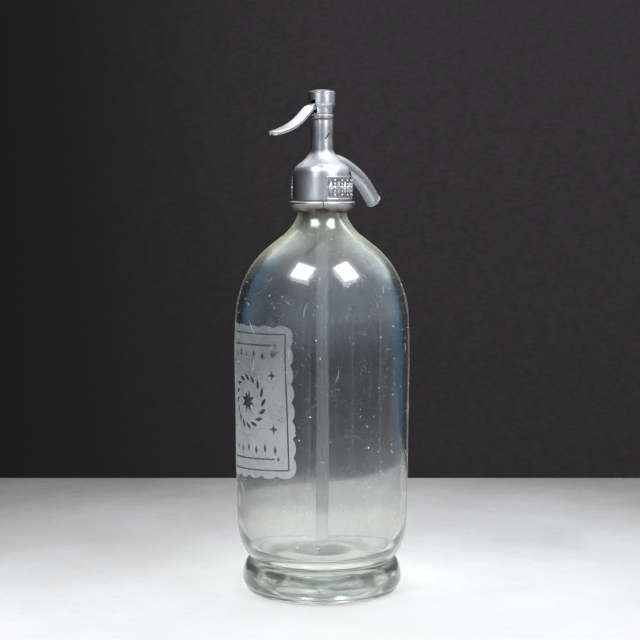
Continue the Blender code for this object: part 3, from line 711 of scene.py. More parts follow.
def swellInside(bm):
    # marks the inner surface and swells it unevenly above the heel, which bends what shows through it
    inside = bm.verts.layers.float.new("inside")
    for vert in bm.verts:
        x, y, height = vert.co
        radius = math.hypot(x, y)
        if not bottle["floorHeight"] - 3 * mm < height < bottle["neckHeight"]:
            continue
        if radius >= outerRadiusAt(max(height, bottle["footHeight"])) - 2 * mm:
            continue
        vert[inside] = 1
        if radius < 1 * mm:
            continue
        wave = noise.noise(Vector((x, y, height / 2)) * bottle["rippleSize"])
        level = (height - bottle["swellHeight"]) / bottle["swellReach"]
        swell = math.exp(-(level**2)) * math.sin(math.atan2(y, x) + bottle["swellTurn"])
        push = 1 + (bottle["ripple"] * wave + bottle["settle"] * swell) / radius
        vert.co.x *= push
        vert.co.y *= push


def makeBottle():
    edge, lip, lipEdge = bottle["rimEdge"], highCorner.z, bottle["lipEdge"]
    puntEdge = (bottle["contactRadius"], bottle["puntHeight"])
    punt = curveBetween(puntRadiusShares, puntHeightShares, (0, 0), puntEdge, 3)
    rim = [(bottle["rimRadius"] - edge, 0)] + arc((bottle["rimRadius"] - edge, edge), edge, -60, 20, 4)
    finish = [
        (bottle["grooveRadius"], bottle["neckHeight"] + 2.5 * mm),
        (bottle["grooveRadius"], bottle["neckHeight"] + 7.1 * mm),
        (bottle["lipRadius"], bottle["neckHeight"] + 8.1 * mm),
        *arc((bottle["lipRadius"] - lipEdge, lip - lipEdge), lipEdge, 0, 90, 4),
    ]
    outer = rim + footLine()[::-1] + bodyLine(5)[1:] + finish
    bm = spun(punt[::-1] + outer + innerLine(5)[::-1], bottle["segments"], closed=False)
    swellInside(bm)
    piece("glass_bottle", bm, bottleGlass, "siphon", 50, ["bottle"]).visible_shadow = False


makeBottle()
print("bottle ready")


# what shows on and in the glass


bloomLook = {
    "colour": (0.34, 0.42, 0.53),
    "sheenBlue": (0.07, 0.25, 0.42),
    "most": 0.075,
    "edge": 0.19,
    "edgeLow": 62.0 * mm,
    "edgeHigh": 105.0 * mm,
    "low": 118.0 * mm,
    "high": 172.0 * mm,
    "residueHeight": 21.0 * mm,
    "residue": 0.16,
    "residueColour": (0.75, 0.76, 0.74),
    "runs": 0.055,
    "milkHeight": 66.0 * mm,
    "milk": 0.176,
    "milkColour": (0.82, 0.78, 0.73),
}
hazeAndSheenLook = {
    "colour": (0.42, 0.46, 0.42),
    "neckColour": (0.72, 0.75, 0.54),
    "face": 0.012,
    "edge": 0.34,
    "neckEdge": 0.32,
    "neckFace": 0.055,
    "lift": 0.03 * mm,
    "thickness": 0.05 * mm,
    # height, half height, colour and strength of the painted light and dark reflection bands on the foot
    "footReflectionBands": (
        (16.4 * mm, 2.3 * mm, (0.07, 0.09, 0.075), 0.62),
        (12.4 * mm, 2.3 * mm, (0.8, 0.85, 0.8), 0.5),
        (7.6 * mm, 3.4 * mm, (0.26, 0.32, 0.28), 0.5),
    ),
}


def makeBloomMaterial(look):
    # dried soda inside the bottle: fine upright streaks, with a painted bluish sheen that makes it thicker and
    # bluer where the wall is seen at a slant
    made, shader, place = startMaterial("driedBloomAndSheen", look["colour"])
    height = heightOf(place)
    slanted = remap(addNode(made.node_tree, "LayerWeight", {"Blend": 0.5}).outputs["Facing"], 0.35, 0.85)
    rising = times(
        remap(height, look["low"], look["high"], 0.13, 1.0), remap(height, 192 * mm, 212 * mm, 1.0, 0.3)
    )
    milk = times(
        remap(height, look["milkHeight"] - 14 * mm, look["milkHeight"], 1.0, 0.0),
        remap(height, 22 * mm, 34 * mm, 0.35, 1.0),
    )
    residue = remap(height, look["residueHeight"], look["residueHeight"] + 10 * mm, 1.0, 0.0)
    above = remap(height, look["edgeLow"], look["edgeHigh"], 0.25, 1.0)
    fine = remap(cloud(stretch(place, (1, 1, 0.03)), 700.0, 3.0, 0.7), 0.42, 0.62)
    broad = remap(cloud(stretch(place, (1, 1, 0.18)), 90.0, 4.0), 0.35, 0.7)
    runs = remap(cloud(stretch(place, (1, 1, 0.012)), 420.0, 2.0, 0.6), 0.55, 0.72)
    patches = remap(cloud(place, 26.0, 4.0), 0.35, 0.65)
    share = plus(times(fine, 0.45), times(broad, 0.15), times(patches, 0.1), 0.3)
    alpha = plus(
        times(rising, share, look["most"]),
        times(slanted, share, above, look["edge"]),
        times(residue, patches, look["residue"]),
        times(runs, look["runs"]),
        times(milk, share, look["milk"]),
    )
    # the bluish colour at a slant is a painted sheen
    colour = blendColour(slanted, look["colour"], look["sheenBlue"])
    colour = blendColour(milk, colour, look["milkColour"])
    feed(shader, {
        "Base Color": blendColour(residue, colour, look["residueColour"]),
        "Alpha": alpha,
        "Roughness": remap(fine, 0.0, 1.0, 0.55, 0.75),
        "Specular IOR Level": 0.1,
    })
    return made


def makeBloom():
    line = [p for p in innerLine(3) if p[1] < bottle["neckHeight"] - 4 * mm]
    bm = spun(offsetIn(line, 0.3 * mm) + offsetIn(line, 0.42 * mm)[::-1], 96, closed=False)
    piece("dried_bloom_and_sheen", bm, makeBloomMaterial(bloomLook), "siphon").visible_shadow = False


def makeHazeMaterial(look):
    # handling marks and fine wear on the outside, thickest on the foot, with a painted pale sheen along the
    # outline and on the neck and painted reflection bands on the foot
    made, shader, place = startMaterial("hazeAndPaintedSheen", look["colour"])
    height = heightOf(place)
    facing = addNode(made.node_tree, "LayerWeight", {"Blend": 0.5}).outputs["Facing"]
    neck = remap(height, 185 * mm, 226 * mm)
    foot = remap(height, 13 * mm, 19 * mm, 1.0, 0.0)
    patches = remap(cloud(place, 60.0, 5.0, 0.7), 0.3, 0.7, 0.55, 1.1)
    mottle = remap(cloud(stretch(place, (1, 1, 3.0)), 190.0, 5.0, 0.7), 0.4, 0.6)
    colour = blendColour(neck, look["colour"], look["neckColour"])
    # the pale edge along the outline and the pale film on the neck are a painted sheen
    alpha = plus(
        look["face"],
        times(remap(facing, 0.78, 0.97), look["edge"]),
        times(neck, times(remap(facing, 0.3, 0.8), look["neckEdge"])),
        times(neck, look["neckFace"]),
    )
    broken = remap(cloud(stretch(place, (1, 1, 2.4)), 34.0, 3.0, 0.6), 0.36, 0.62, 0.35, 1.0)
    broken = times(broken, remap(mottle, 0.0, 1.0, 0.5, 1.0))
    # the foot bands are painted light and dark reflections
    for level, half, shade, strength in look["footReflectionBands"]:
        off = calc("ABSOLUTE", minus(height, level))
        share = times(remap(off, half * 0.35, half, strength, 0.0), broken)
        colour = blendColour(calc("MULTIPLY", share, 2.0, clamp=True), colour, shade)
        alpha = plus(alpha, share)
    feed(shader, {
        "Base Color": colour,
        "Alpha": times(alpha, patches),
        "Roughness": remap(foot, 0.0, 1.0, 0.6, 0.16),
        "Coat Weight": foot,
        "Coat Roughness": 0.08,
        "Coat IOR": 1.75,
    })
    return made


def makeHaze():
    line = footLine()[::-1] + bodyLine(5)[1:]
    low, high = hazeAndSheenLook["lift"], hazeAndSheenLook["lift"] + hazeAndSheenLook["thickness"]
    outline = [(p[0] + high, p[1]) for p in line] + [(p[0] + low, p[1]) for p in line[::-1]]
    piece("haze_and_painted_sheen", spun(outline, 128), makeHazeMaterial(hazeAndSheenLook), "siphon")


makeHaze()
makeBloom()


def makeDipTube():
    low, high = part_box("dip_tube")
    radius, edge = high.x, 0.5 * mm
    bore = radius - 0.8 * mm
    outline = [
        (bore, low.z + edge / 2),
        (bore + edge / 2, low.z),
        *arc((radius - edge, low.z + edge), edge, -90, 0, 4),
        (radius, high.z),
        (bore, high.z),
    ]
    made = piece("glass_dip_tube", spun(outline, 48), tubeGlass, "siphon", 40, ["dip_tube"])
    made.visible_shadow = False


makeDipTube()


labelLook = {
    "angle": 166.0,
    "middleHeight": 119.6 * mm,
    "halfWidth": 30.9 * mm,
    "halfHeight": 40.7 * mm,
    "topRise": 0.03,
    "bottomRise": 0.085,
    "lean": 1.0 * mm,
    "ruleWidth": 0.9 * mm,
    "sideBorder": 3.0 * mm,
    "topBorder": 3.3 * mm,
    "lobeRise": 1.8 * mm,
    "sideLobes": 8,
    "topLobes": 6,
    "lobeSteps": 8,
    "leaves": 16,
    "leafRing": 14.5 * mm,
    "lift": 0.1 * mm,
    "thickness": 0.06 * mm,
    "colour": (0.61, 0.64, 0.65),
    "coverTop": 0.27,
    "coverBottom": 0.73,
}


def makeGroundMaterial(look):
    # acid-ground glass: pale, dull and partly clear, thinner in patches and rubbed at the edge
    made, shader, place = startMaterial("groundPanel", look["colour"])
    grain = cloud(place, 1400.0, 3.0, 0.7)
    patches = cloud(place, 38.0, 4.0, 0.6)
    streaks = useGroup(made.node_tree, hairlines, Vector=place, Fineness=26.0, Width=0.01)[0]
    low = look["middleHeight"] - look["halfHeight"]
    high = look["middleHeight"] + look["halfHeight"]
    cover = times(
        remap(heightOf(place), low, high, look["coverBottom"], look["coverTop"]),
        remap(patches, 0.25, 0.75, 0.78, 1.22),
        remap(grain, 0.3, 0.7, 0.9, 1.08),
    )
    feed(shader, {
        "Base Color": blendColour(patches, look["colour"], tuple(c * 0.86 for c in look["colour"])),
        "Alpha": minus(cover, times(streaks, 0.25), clamp=True),
        "Roughness": remap(grain, 0.3, 0.7, 0.62, 0.8),
        "Normal": bumped(grain, 0.3, 0.05 * mm),
        "Specular IOR Level": 0.25,
    })
    return made


def flatLoop(bm, points):
    verts = [bm.verts.new((p[0], p[1], 0)) for p in points]
    return [bm.edges.new(pair) for pair in zip(verts, verts[1:] + verts[:1])]


def rectangle(halfWidth, halfHeight, centre=(0, 0)):
    corners = ((-1, -1), (1, -1), (1, 1), (-1, 1))
    return [(centre[0] + x * halfWidth, centre[1] + y * halfHeight) for x, y in corners]


def scallopedEdge(look):
    # lobes that bulge outwards all round a rectangle
    corners = rectangle(look["halfWidth"] + look["sideBorder"], look["halfHeight"] + look["topBorder"])
    corners = [Vector(corner) for corner in corners]
    counts = (look["topLobes"], look["sideLobes"], look["topLobes"], look["sideLobes"])
    steps = look["lobeSteps"]
    points = []
    for start, end, count in zip(corners, corners[1:] + corners[:1], counts):
        out = Vector(((end - start).y, -(end - start).x)).normalized()
        for i in range(count * steps):
            rise = look["lobeRise"] * math.sin(math.pi * (i % steps) / steps) ** 0.75
            points.append(tuple(start.lerp(end, i / steps / count) + out * rise))
    return points


def starPoints(centre, points, outer, inner, turn=0.0):
    made = []
    for i in range(points * 2):
        radius = inner if i % 2 else outer
        angle = math.pi * i / points + turn
        made.append((centre[0] + radius * math.cos(angle), centre[1] + radius * math.sin(angle)))
    return made


def leafPoints(centre, length, width, turn):
    across, along = math.sin(turn), math.cos(turn)
    made = []
    for i in range(16):
        x = length * (0.5 - abs(1 - i / 8))
        y = width / 2 * math.sin(math.pi * i / 8)
        made.append((centre[0] + x * along - y * across, centre[1] + x * across + y * along))
    return made


def wrapOnBottle(bm, look):
    # lays flat work round the bottle: x goes round it and y up it
    reach = 60 * mm
    for normal, cuts in ((Vector((1, 0, 0)), 20), (Vector((0, 1, 0)), 5)):
        for i in range(-cuts, cuts + 1):
            geom = [*bm.verts, *bm.edges, *bm.faces]
            place = normal * (i * reach / cuts)
            bmesh.ops.bisect_plane(bm, geom=geom, dist=1e-7, plane_co=place, plane_no=normal)
    for vert in bm.verts:
        share = vert.co.y / look["halfHeight"]
        x = vert.co.x - look["lean"] * share
        y = vert.co.y + vert.co.x * (look["topRise"] * (1 + share) + look["bottomRise"] * (1 - share)) / 2
        height = look["middleHeight"] + y
        radius = outerRadiusAt(height) + look["lift"]
        vert.co = polar(radius, math.radians(look["angle"]) + x / radius, height)


def thickened(bm, thickness):
    bmesh.ops.recalc_face_normals(bm, faces=bm.faces)
    leans = [face.normal.dot(Vector((*face.calc_center_median().xy, 0))) for face in bm.faces]
    if sum(1 if lean > 0 else -1 for lean in leans) < 0:
        bmesh.ops.reverse_faces(bm, faces=bm.faces)
    bmesh.ops.solidify(bm, geom=[*bm.verts, *bm.edges, *bm.faces], thickness=-thickness)
    bmesh.ops.recalc_face_normals(bm, faces=bm.faces)


def makePanel(name, loops, look, finish):
    bm = bmesh.new()
    edges = [edge for loop in loops for edge in flatLoop(bm, loop)]
    bmesh.ops.triangle_fill(bm, edges=edges, use_beauty=True)
    wrapOnBottle(bm, look)
    thickened(bm, look["thickness"])
    piece(name, bm, finish, "siphon", 60).visible_shadow = False


def makeLabel(look):
    ground = makeGroundMaterial(look)
    width, height, rule = look["halfWidth"], look["halfHeight"], look["ruleWidth"] / 2
    makePanel("panel_border", [scallopedEdge(look), rectangle(width + rule, height + rule)], look, ground)
    # a clear ring of leaves round a star, with small diamonds above and below
    loops = [rectangle(width - rule, height - rule), starPoints((0, 0), 8, 7.6 * mm, 3.6 * mm, math.pi / 8)]
    for i in range(look["leaves"]):
        turn = math.tau * i / look["leaves"]
        centre = (look["leafRing"] * math.cos(turn), look["leafRing"] * math.sin(turn))
        loops.append(leafPoints(centre, 6.6 * mm, 2.4 * mm, turn + 0.9))
    for side in (-1, 1):
        for i in range(-3, 4):
            centre = (i * 7.4 * mm, side * (27.5 * mm + 1.2 * mm * (i % 2)))
            loops.append(starPoints(centre, 2, 2.9 * mm, 1.2 * mm, math.pi / 2))
        loops.append(rectangle(22.0 * mm, 0.5 * mm, (0, side * 34.0 * mm)))
        for end in (-1, 1):
            loops.append(starPoints((end * 24.2 * mm, side * 34.0 * mm), 6, 0.95 * mm, 0.95 * mm))
            loops.append(starPoints((end * 21.5 * mm, side * 16.0 * mm), 4, 3.3 * mm, 1.1 * mm))
    makePanel("panel_ground", loops, look, ground)


makeLabel(labelLook)
print("ground panel ready")


specks = {
    "count": 620,
    "scratches": 46,
    "seed": 11,
    "smallest": 0.16 * mm,
    "largest": 0.5 * mm,
    "thickness": 0.16 * mm,
    "colour": (0.8, 0.82, 0.84),
    "glow": (0.75, 0.78, 0.82),
}


def makeSpeckMaterial(look):
    made, shader, place = startMaterial("paleSpecks", look["colour"])
    feed(shader, {
        "Base Color": blendColour(cloud(place, 300.0), (0.95, 0.96, 0.98), (0.75, 0.77, 0.8)),
        "Roughness": remap(cloud(place, 900.0), 0.3, 0.7, 0.5, 0.8),
        # the emission is a painted glint: the specks glow though they are no lamp
        "Emission Color": look["glow"],
        "Emission Strength": 0.8,
    })
    return made


def addScratch(bm, rng):
    # a bent sliver on the glass, widest in its middle
    height = rng.uniform(45 * mm, 200 * mm)
    angle = rng.uniform(0, math.tau)
    length = rng.uniform(2.5 * mm, 11 * mm)
    slant = rng.gauss(math.pi / 2, 0.7)
    bend = rng.uniform(-0.5, 0.5)
    rows = []
    for step in range(9):
        share = step / 8 - 0.5
        lean = slant + bend * share
        along = Vector((math.cos(lean), math.sin(lean))) * length * share
        wide = 0.045 * mm * (1 - (2 * share) ** 2) + 0.006 * mm
        side = Vector((-math.sin(slant), math.cos(slant))) * wide
        rows.append([])
        for spot in (along - side, along + side):
            radius = outerRadiusAt(height + spot.y) + 0.12 * mm
            rows[-1].append(polar(radius, angle + spot.x / radius, height + spot.y))
    bmesh.ops.solidify(bm, geom=drawThrough(bm, rows, around=False), thickness=0.02 * mm)


def makeSpecks(look):
    # dust, chips and short scuffs on the glass, which glow a little as painted glints
    rng = random.Random(look["seed"])
    bm = bmesh.new()
    for _ in range(look["count"]):
        height = rng.uniform(30 * mm, 222 * mm)
        angle = rng.uniform(0, math.tau)
        size = look["smallest"] + (look["largest"] - look["smallest"]) * rng.random() ** 1.7
        turn = Matrix.Rotation(angle, 4, "Z") @ Matrix.Rotation(rng.uniform(0, 3), 4, "X")
        place = Matrix.Translation(polar(outerRadiusAt(height), angle, height))
        shape = Matrix.Diagonal((look["thickness"], size * rng.uniform(0.5, 1), size * rng.uniform(0.4, 1), 1))
        bmesh.ops.create_icosphere(bm, subdivisions=1, radius=1, matrix=place @ turn @ shape)
    for _ in range(look["scratches"]):
        addScratch(bm, rng)
    bmesh.ops.recalc_face_normals(bm, faces=bm.faces)
    made = piece("glass_specks", bm, makeSpeckMaterial(look), "siphon", 60)
    made.visible_shadow = False


makeSpecks(specks)
print("specks ready")


# head casting


headLow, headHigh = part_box("head_body")
head = {
    "segments": 128,
    "skirtRadius": headHigh.x - 0.02 * mm,
    "skirtBottom": headLow.z,
    "skirtBore": 16.7 * mm,
    "shoulderBore": 14.5 * mm,
    "domeBottom": headLow.z + 9.8 * mm,
    "columnRadius": 7.0 * mm,
    "columnBase": headLow.z + 32.3 * mm,
    "columnTop": headHigh.z,
    "chamberRadius": 5.0 * mm,
    "seatRadius": 2.4 * mm,
    "edge": 0.35 * mm,
    "socketRadius": 5.1 * mm,
}
domeRadiusShares = (0.0, 0.015, 0.07, 0.16, 0.34, 0.52, 0.68, 0.81, 0.92, 0.98, 1.0)
domeHeightShares = (0.0, 0.24, 0.36, 0.45, 0.54, 0.61, 0.68, 0.755, 0.83, 0.91, 1.0)


def domeLine(steps):
    start, end = (head["skirtRadius"], head["domeBottom"]), (head["columnRadius"], head["columnBase"])
    return curveBetween(domeRadiusShares, domeHeightShares, start, end, steps)


def makeHead():
    foot, edge, column, top = 0.5 * mm, head["edge"], head["columnRadius"], head["columnTop"]
    outline = [
        (head["skirtBore"], head["skirtBottom"]),
        *arc((head["skirtRadius"] - foot, head["skirtBottom"] + foot), foot, -90, 0, 4),
        (head["skirtRadius"], head["skirtBottom"] + 4 * mm),
        *domeLine(5),
        (column - 0.04 * mm, top - 6 * mm),
        *arc((column - edge, top - edge), edge, 0, 90, 3),
        (head["chamberRadius"], top),
        (head["chamberRadius"], 256.0 * mm),
        (3.2 * mm, 256.0 * mm),
        (2.8 * mm, 257.0 * mm),
        (head["seatRadius"], 257.0 * mm),
        (head["seatRadius"], 252.4 * mm),
        (head["shoulderBore"], 252.4 * mm),
        (head["shoulderBore"], 246.3 * mm),
        (head["skirtBore"], 246.3 * mm),
    ]
    bm = spun(outline, head["segments"])
    made = piece("head_casting", bm, headMetal, "siphon", 40, ["head_body"])
    socket = spoutLine(3)[:14]
    socket[0] -= Vector((0.3 * mm, 0, 0))
    cutWith(made, lofted(bendRounds(socket, [head["socketRadius"]] * len(socket), 40)), 40)


# spout


spout = {
    "segments": 48,
    "radius": 4.8 * mm,
    "bore": 3.75 * mm,
    "root": 8.4 * mm,
    "reach": 48.6 * mm,
    "height": 261.9 * mm,
    "drop": 24.6 * mm,
    "lipRise": 0.34 * mm,
    "lipLength": 1.5 * mm,
    "edge": 0.35 * mm,
    "blobShare": 0.66,
    "blobRadius": 0.75 * mm,
}
spoutReachShares = (0.0, 0.12, 0.24, 0.38, 0.555, 0.72, 0.86, 1.0)
spoutDropShares = (0.0, 0.025, 0.08, 0.178, 0.325, 0.515, 0.74, 1.0)


def spoutLine(steps):
    points = [
        (spout["root"] + (spout["reach"] - spout["root"]) * reach, 0, spout["height"] - spout["drop"] * drop)
        for reach, drop in zip(spoutReachShares, spoutDropShares)
    ]
    return [Vector(point) for point in smoothLine(points, steps)]


def makeSpout():
    line = spoutLine(6)
    run = (line[-1] - line[-2]).normalized()
    lip = [line[-1] - run * spout["lipLength"] * (1 - i / 8) for i in range(9)]
    line = [p for p in line if (p - line[-1]).length > spout["lipLength"] * 1.05] + lip
    plain = len(line) - len(lip)
    radii = [spout["radius"] * (1 + 0.018 * math.sin(math.pi * i / plain)) for i in range(plain)]
    radii += [spout["radius"] + spout["lipRise"] * math.sin(math.pi * (i + 0.4) / 8.8) ** 0.7 for i in range(9)]
    outer = bendRounds(line, radii, spout["segments"])
    end = bendRounds(line, [spout["radius"] - spout["edge"]] * len(line), spout["segments"])[-1]
    inner = bendRounds(line, [spout["bore"]] * len(line), spout["segments"])
    bm = lofted(outer + [end] + inner[::-1], closed=True)
    piece("curved_spout", bm, spoutMetal, "siphon", 45, ["spout"])
    # a small leftover blob of the casting on the spout's back
    at = int(len(line) * spout["blobShare"])
    run = (line[at + 1] - line[at]).normalized()
    centre = line[at] + Vector((-run.z, 0, run.x)) * (spout["radius"] + 0.15 * mm)
    bm = bmesh.new()
    matrix = Matrix.Translation(centre) @ Matrix.Diagonal((1.25, 1, 0.9, 1))
    bmesh.ops.create_icosphere(bm, subdivisions=3, radius=spout["blobRadius"], matrix=matrix)
    for vert in bm.verts:
        vert.co += vert.normal * noise.noise(vert.co * 900) * 0.15 * mm
    piece("spout_casting_blob", bm, spoutMetal, "siphon")


makeSpout()
makeHead()
print("head and spout ready")


# raised band on the dome: a rounded edge, diamonds and pearls on pebbled ground


band = {
    "low": 239.4 * mm,
    "high": 252.6 * mm,
    "start": math.radians(231.5),
    "end": math.radians(488.5),
    "edgeRadius": 0.36 * mm,
    "diamonds": 16,
    "diamondHeight": 8.6 * mm,
    "diamondWidth": 4.4 * mm,
    "rise": 0.95 * mm,
    "pearl": 0.72 * mm,
    "middlePearl": 1.1 * mm,
    "pearlSteps": (-4.3 * mm, -2.2 * mm, 0.0, 2.2 * mm, 4.3 * mm),
    "pebbles": 560,
    "seed": 5,
}
bandGuide = [(head["skirtRadius"], head["skirtBottom"])] + domeLine(5)


def onBand(angle, height, lift=0.0):
    return polar(radiusAt(bandGuide, height) + lift, angle, height)


def makeBandEdge(start, end, low, high):
    # the two edges and the end bars are one rounded wire
    wire = [onBand(start + (end - start) * i / 120, low) for i in range(121)]
    wire += [onBand(end, low + (high - low) * i / 12) for i in range(1, 12)]
    wire += [onBand(end + (start - end) * i / 120, high) for i in range(121)]
    wire += [onBand(start, high + (low - high) * i / 12) for i in range(1, 12)]
    turns = [math.tau * k / 8 for k in range(8)]
    loops = []
    for i, point in enumerate(wire):
        run = (wire[(i + 1) % len(wire)] - wire[i - 1]).normalized()
        out = Vector((point.x, point.y, 0)).normalized()
        side = run.cross(out).normalized()
        swell = band["edgeRadius"] * (1 + 0.18 * math.sin(i * 2.1))
        loops.append([point + (out * math.cos(turn) + side * math.sin(turn)) * swell for turn in turns])
    piece("dome_band_edge", lofted(loops, closed=True), headMetal, "siphon", 60)


def makeBandDiamonds(start, end, middle):
    pitch = (end - start) / band["diamonds"]
    inset = Matrix.Translation((radiusAt(bandGuide, middle) - 0.1 * mm, 0, middle))
    inset = inset @ Matrix.Rotation(math.pi / 2, 4, "Y")
    shape = Matrix.Diagonal((band["diamondHeight"] / 2, band["diamondWidth"] / 2, 1, 1))
    raised = inset @ Matrix.Translation((0, 0, band["rise"] / 2)) @ shape
    bm = bmesh.new()
    for i in range(band["diamonds"]):
        angle = start + (end - start) * (i + 0.5) / band["diamonds"]
        bmesh.ops.create_cone(
            bm, cap_ends=True, segments=4, radius1=1, radius2=0.35, depth=band["rise"],
            matrix=Matrix.Rotation(angle, 4, "Z") @ raised,
        )
        for step in band["pearlSteps"]:
            place = Matrix.Translation(onBand(angle + pitch / 2, middle + step, -0.15 * mm))
            size = band["pearl"] if step else band["middlePearl"]
            bmesh.ops.create_uvsphere(bm, u_segments=12, v_segments=8, radius=size, matrix=place)
    bmesh.ops.bevel(
        bm, geom=[e for e in bm.edges if e.calc_face_angle(0) > 0.6], offset=0.12 * mm, offset_type="OFFSET",
        segments=2, profile=0.5, affect="EDGES", material=-1, clamp_overlap=True,
    )
    piece("dome_band_diamonds", bm, headMetal, "siphon", 50)


def makeBandGround(start, end, low, high):
    rng = random.Random(band["seed"])
    flat = Matrix.Diagonal((0.7, 1, 1, 1))
    bm = bmesh.new()
    for _ in range(band["pebbles"]):
        angle = rng.uniform(start + 0.02, end - 0.02)
        height = rng.uniform(low + 0.6 * mm, high - 0.6 * mm)
        size = rng.uniform(0.22 * mm, 0.42 * mm)
        matrix = Matrix.Translation(onBand(angle, height, -0.1 * mm)) @ Matrix.Rotation(angle, 4, "Z") @ flat
        bmesh.ops.create_icosphere(bm, subdivisions=2, radius=size, matrix=matrix)
    piece("dome_band_pebbles", bm, groundMetal, "siphon", 60)
    levels = [low + (high - low) * i / 10 for i in range(11)]
    outline = [(radiusAt(bandGuide, z) + 0.06 * mm, z) for z in levels]
    outline += [(radiusAt(bandGuide, z) + 0.01 * mm, z) for z in levels[::-1]]
    piece("dome_band_ground", spunPart(outline, 90, start, end), groundMetal, "siphon", 60)


makeBandEdge(band["start"], band["end"], band["low"], band["high"])
makeBandDiamonds(band["start"], band["end"], (band["low"] + band["high"]) / 2)
makeBandGround(band["start"], band["end"], band["low"], band["high"])
print("dome band ready")


# clamp ring halves


ring = {
    "seam": 44.0,
    "seamWidth": 0.5 * mm,
    "bottom": 231.9 * mm,
    "beadHeight": 236.55 * mm,
    "beadRadius": 1.25 * mm,
    "outer": 20.04 * mm,
    "top": 245.4 * mm,
}


def makeRing():
    low, top, bead = ring["bottom"], ring["top"], ring["beadRadius"]
    outline = [
        (15.1 * mm, low + 0.2 * mm),
        (15.4 * mm, low),
        (16.3 * mm, low),
        (16.9 * mm, low + 0.35 * mm),
        (17.7 * mm, low + 1.5 * mm),
        (18.5 * mm, low + 2.6 * mm),
        (18.95 * mm, low + 3.15 * mm),
        *arc((ring["outer"] - bead, ring["beadHeight"]), bead, -62, 82, 10),
        (16.4 * mm, low + 6.0 * mm),
        (16.4 * mm, top),
        (15.3 * mm, top),
        (15.3 * mm, 239.1 * mm),
        (13.9 * mm, 238.6 * mm),
        (13.9 * mm, 233.2 * mm),
    ]
    half = ring["seamWidth"] / 2 / ring["outer"]
    for side, start in (("lever_side", ring["seam"]), ("spout_side", ring["seam"] - 180)):
        first = math.radians(start) + half
        bm = spunPart(outline, 64, first, first + math.pi - 2 * half)
        piece("clamp_ring_" + side, bm, collarMetal, "siphon", 40, ["collar_half_" + side])


makeRing()
print("clamp ring ready")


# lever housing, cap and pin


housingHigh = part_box("lever_housing")[1]
housing = {
    "segments": 128,
    "bottom": 287.4 * mm,
    "top": housingHigh.z,
    "waist": 6.86 * mm,
    "radius": housingHigh.x - 0.02 * mm,
    "collar": 7.04 * mm,
    "slotWidth": 3.9 * mm,
    "slotDepth": 7.0 * mm,
    "slotLow": 290.4 * mm,
    "slotHigh": 298.6 * mm,
    "pinRadius": 0.9 * mm,
    "pinBore": 0.93 * mm,
    # angle, width and depth in millimetres of the nicks along the rim, most of them on the lever's side
    "nicks": ((186, 9, 0.3), (204, 6, 0.2), (166, 8, 0.16), (300, 9, 0.12), (60, 8, 0.16)),
}
pivot = Vector((-5.4 * mm, 0, 294.9 * mm))
coneRadiusShares = (0.0, 0.14, 0.42, 0.82, 0.94, 1.0)
coneHeightShares = (0.0, 0.34, 0.7, 0.92, 0.97, 1.1)


def nickRim(bm, top):
    for vert in bm.verts:
        if vert.co.z > top - 0.6 * mm and math.hypot(vert.co.x, vert.co.y) > 7.9 * mm:
            angle = math.degrees(math.atan2(vert.co.y, vert.co.x)) % 360
            for centre, width, depth in housing["nicks"]:
                vert.co.z -= depth * mm * math.exp(-(((angle - centre) / width) ** 2))


def slotBar():
    bar = bmesh.new()
    depth, low, high = housing["slotDepth"], housing["slotLow"], housing["slotHigh"]
    size = Matrix.Diagonal((depth, housing["slotWidth"], high - low, 1))
    bmesh.ops.create_cube(bar, size=1, matrix=Matrix.Translation((-6.9 * mm, 0, (high + low) / 2)) @ size)
    long = [e for e in bar.edges if abs((e.verts[0].co - e.verts[1].co).x) > depth / 2]
    bmesh.ops.bevel(bar, geom=long, offset=0.5 * mm, segments=3, profile=0.5, affect="EDGES", material=-1)
    return bar


def pinBar(radius):
    bar = bmesh.new()
    matrix = Matrix.Translation(pivot) @ Matrix.Rotation(math.pi / 2, 4, "X")
    bmesh.ops.create_cone(
        bar, cap_ends=True, segments=40, radius1=radius, radius2=radius, depth=24 * mm, matrix=matrix
    )
    return bar


def makeHousing():
    low, top, waist, radius, collar = (housing[name] for name in ("bottom", "top", "waist", "radius", "collar"))
    start, end = (waist, low + 4.2 * mm), (radius, low + 9.2 * mm)
    cone = curveBetween(coneRadiusShares, coneHeightShares, start, end, 4)
    outline = [
        *arc((collar - 0.4 * mm, low + 0.4 * mm), 0.4 * mm, -90, 0, 3),
        *arc((collar - 0.6 * mm, low + 1.7 * mm), 0.6 * mm, 0, 60, 3),
        (waist - 0.22 * mm, low + 2.5 * mm),
        (waist - 0.05 * mm, low + 3.0 * mm),
        *cone,
        (radius, top - 3.0 * mm),
        *arc((radius - 0.3 * mm, top - 0.3 * mm), 0.3 * mm, 0, 90, 4),
        (7.95 * mm, top),
        (7.9 * mm, top - 0.5 * mm),
        (6.6 * mm, top - 0.5 * mm),
        (6.6 * mm, 297.6 * mm),
        (4.9 * mm, 297.6 * mm),
        (4.9 * mm, 291.0 * mm),
        (2.6 * mm, 291.0 * mm),
        (2.6 * mm, 283.9 * mm),
        (4.7 * mm, 283.9 * mm),
        (4.7 * mm, low),
    ]
    bm = spun(outline, housing["segments"])
    nickRim(bm, top)
    made = piece("lever_housing_shell", bm, headMetal, "siphon", 38, ["lever_housing"])
    cutWith(made, slotBar(), 38)
    cutWith(made, pinBar(housing["pinBore"]), 38)
    # the hinge pin is riveted over and dressed down to the housing's surface
    pin = piece("hinge_pin", pinBar(housing["pinRadius"]), headMetal, "siphon", 40, ["lever_pin"])
    inside = [(0, low), (cone[0][0], low), *cone, (cone[-1][0], top), (0, top)]
    cutWith(pin, spun(inside, housing["segments"], closed=False), 40, "INTERSECT")


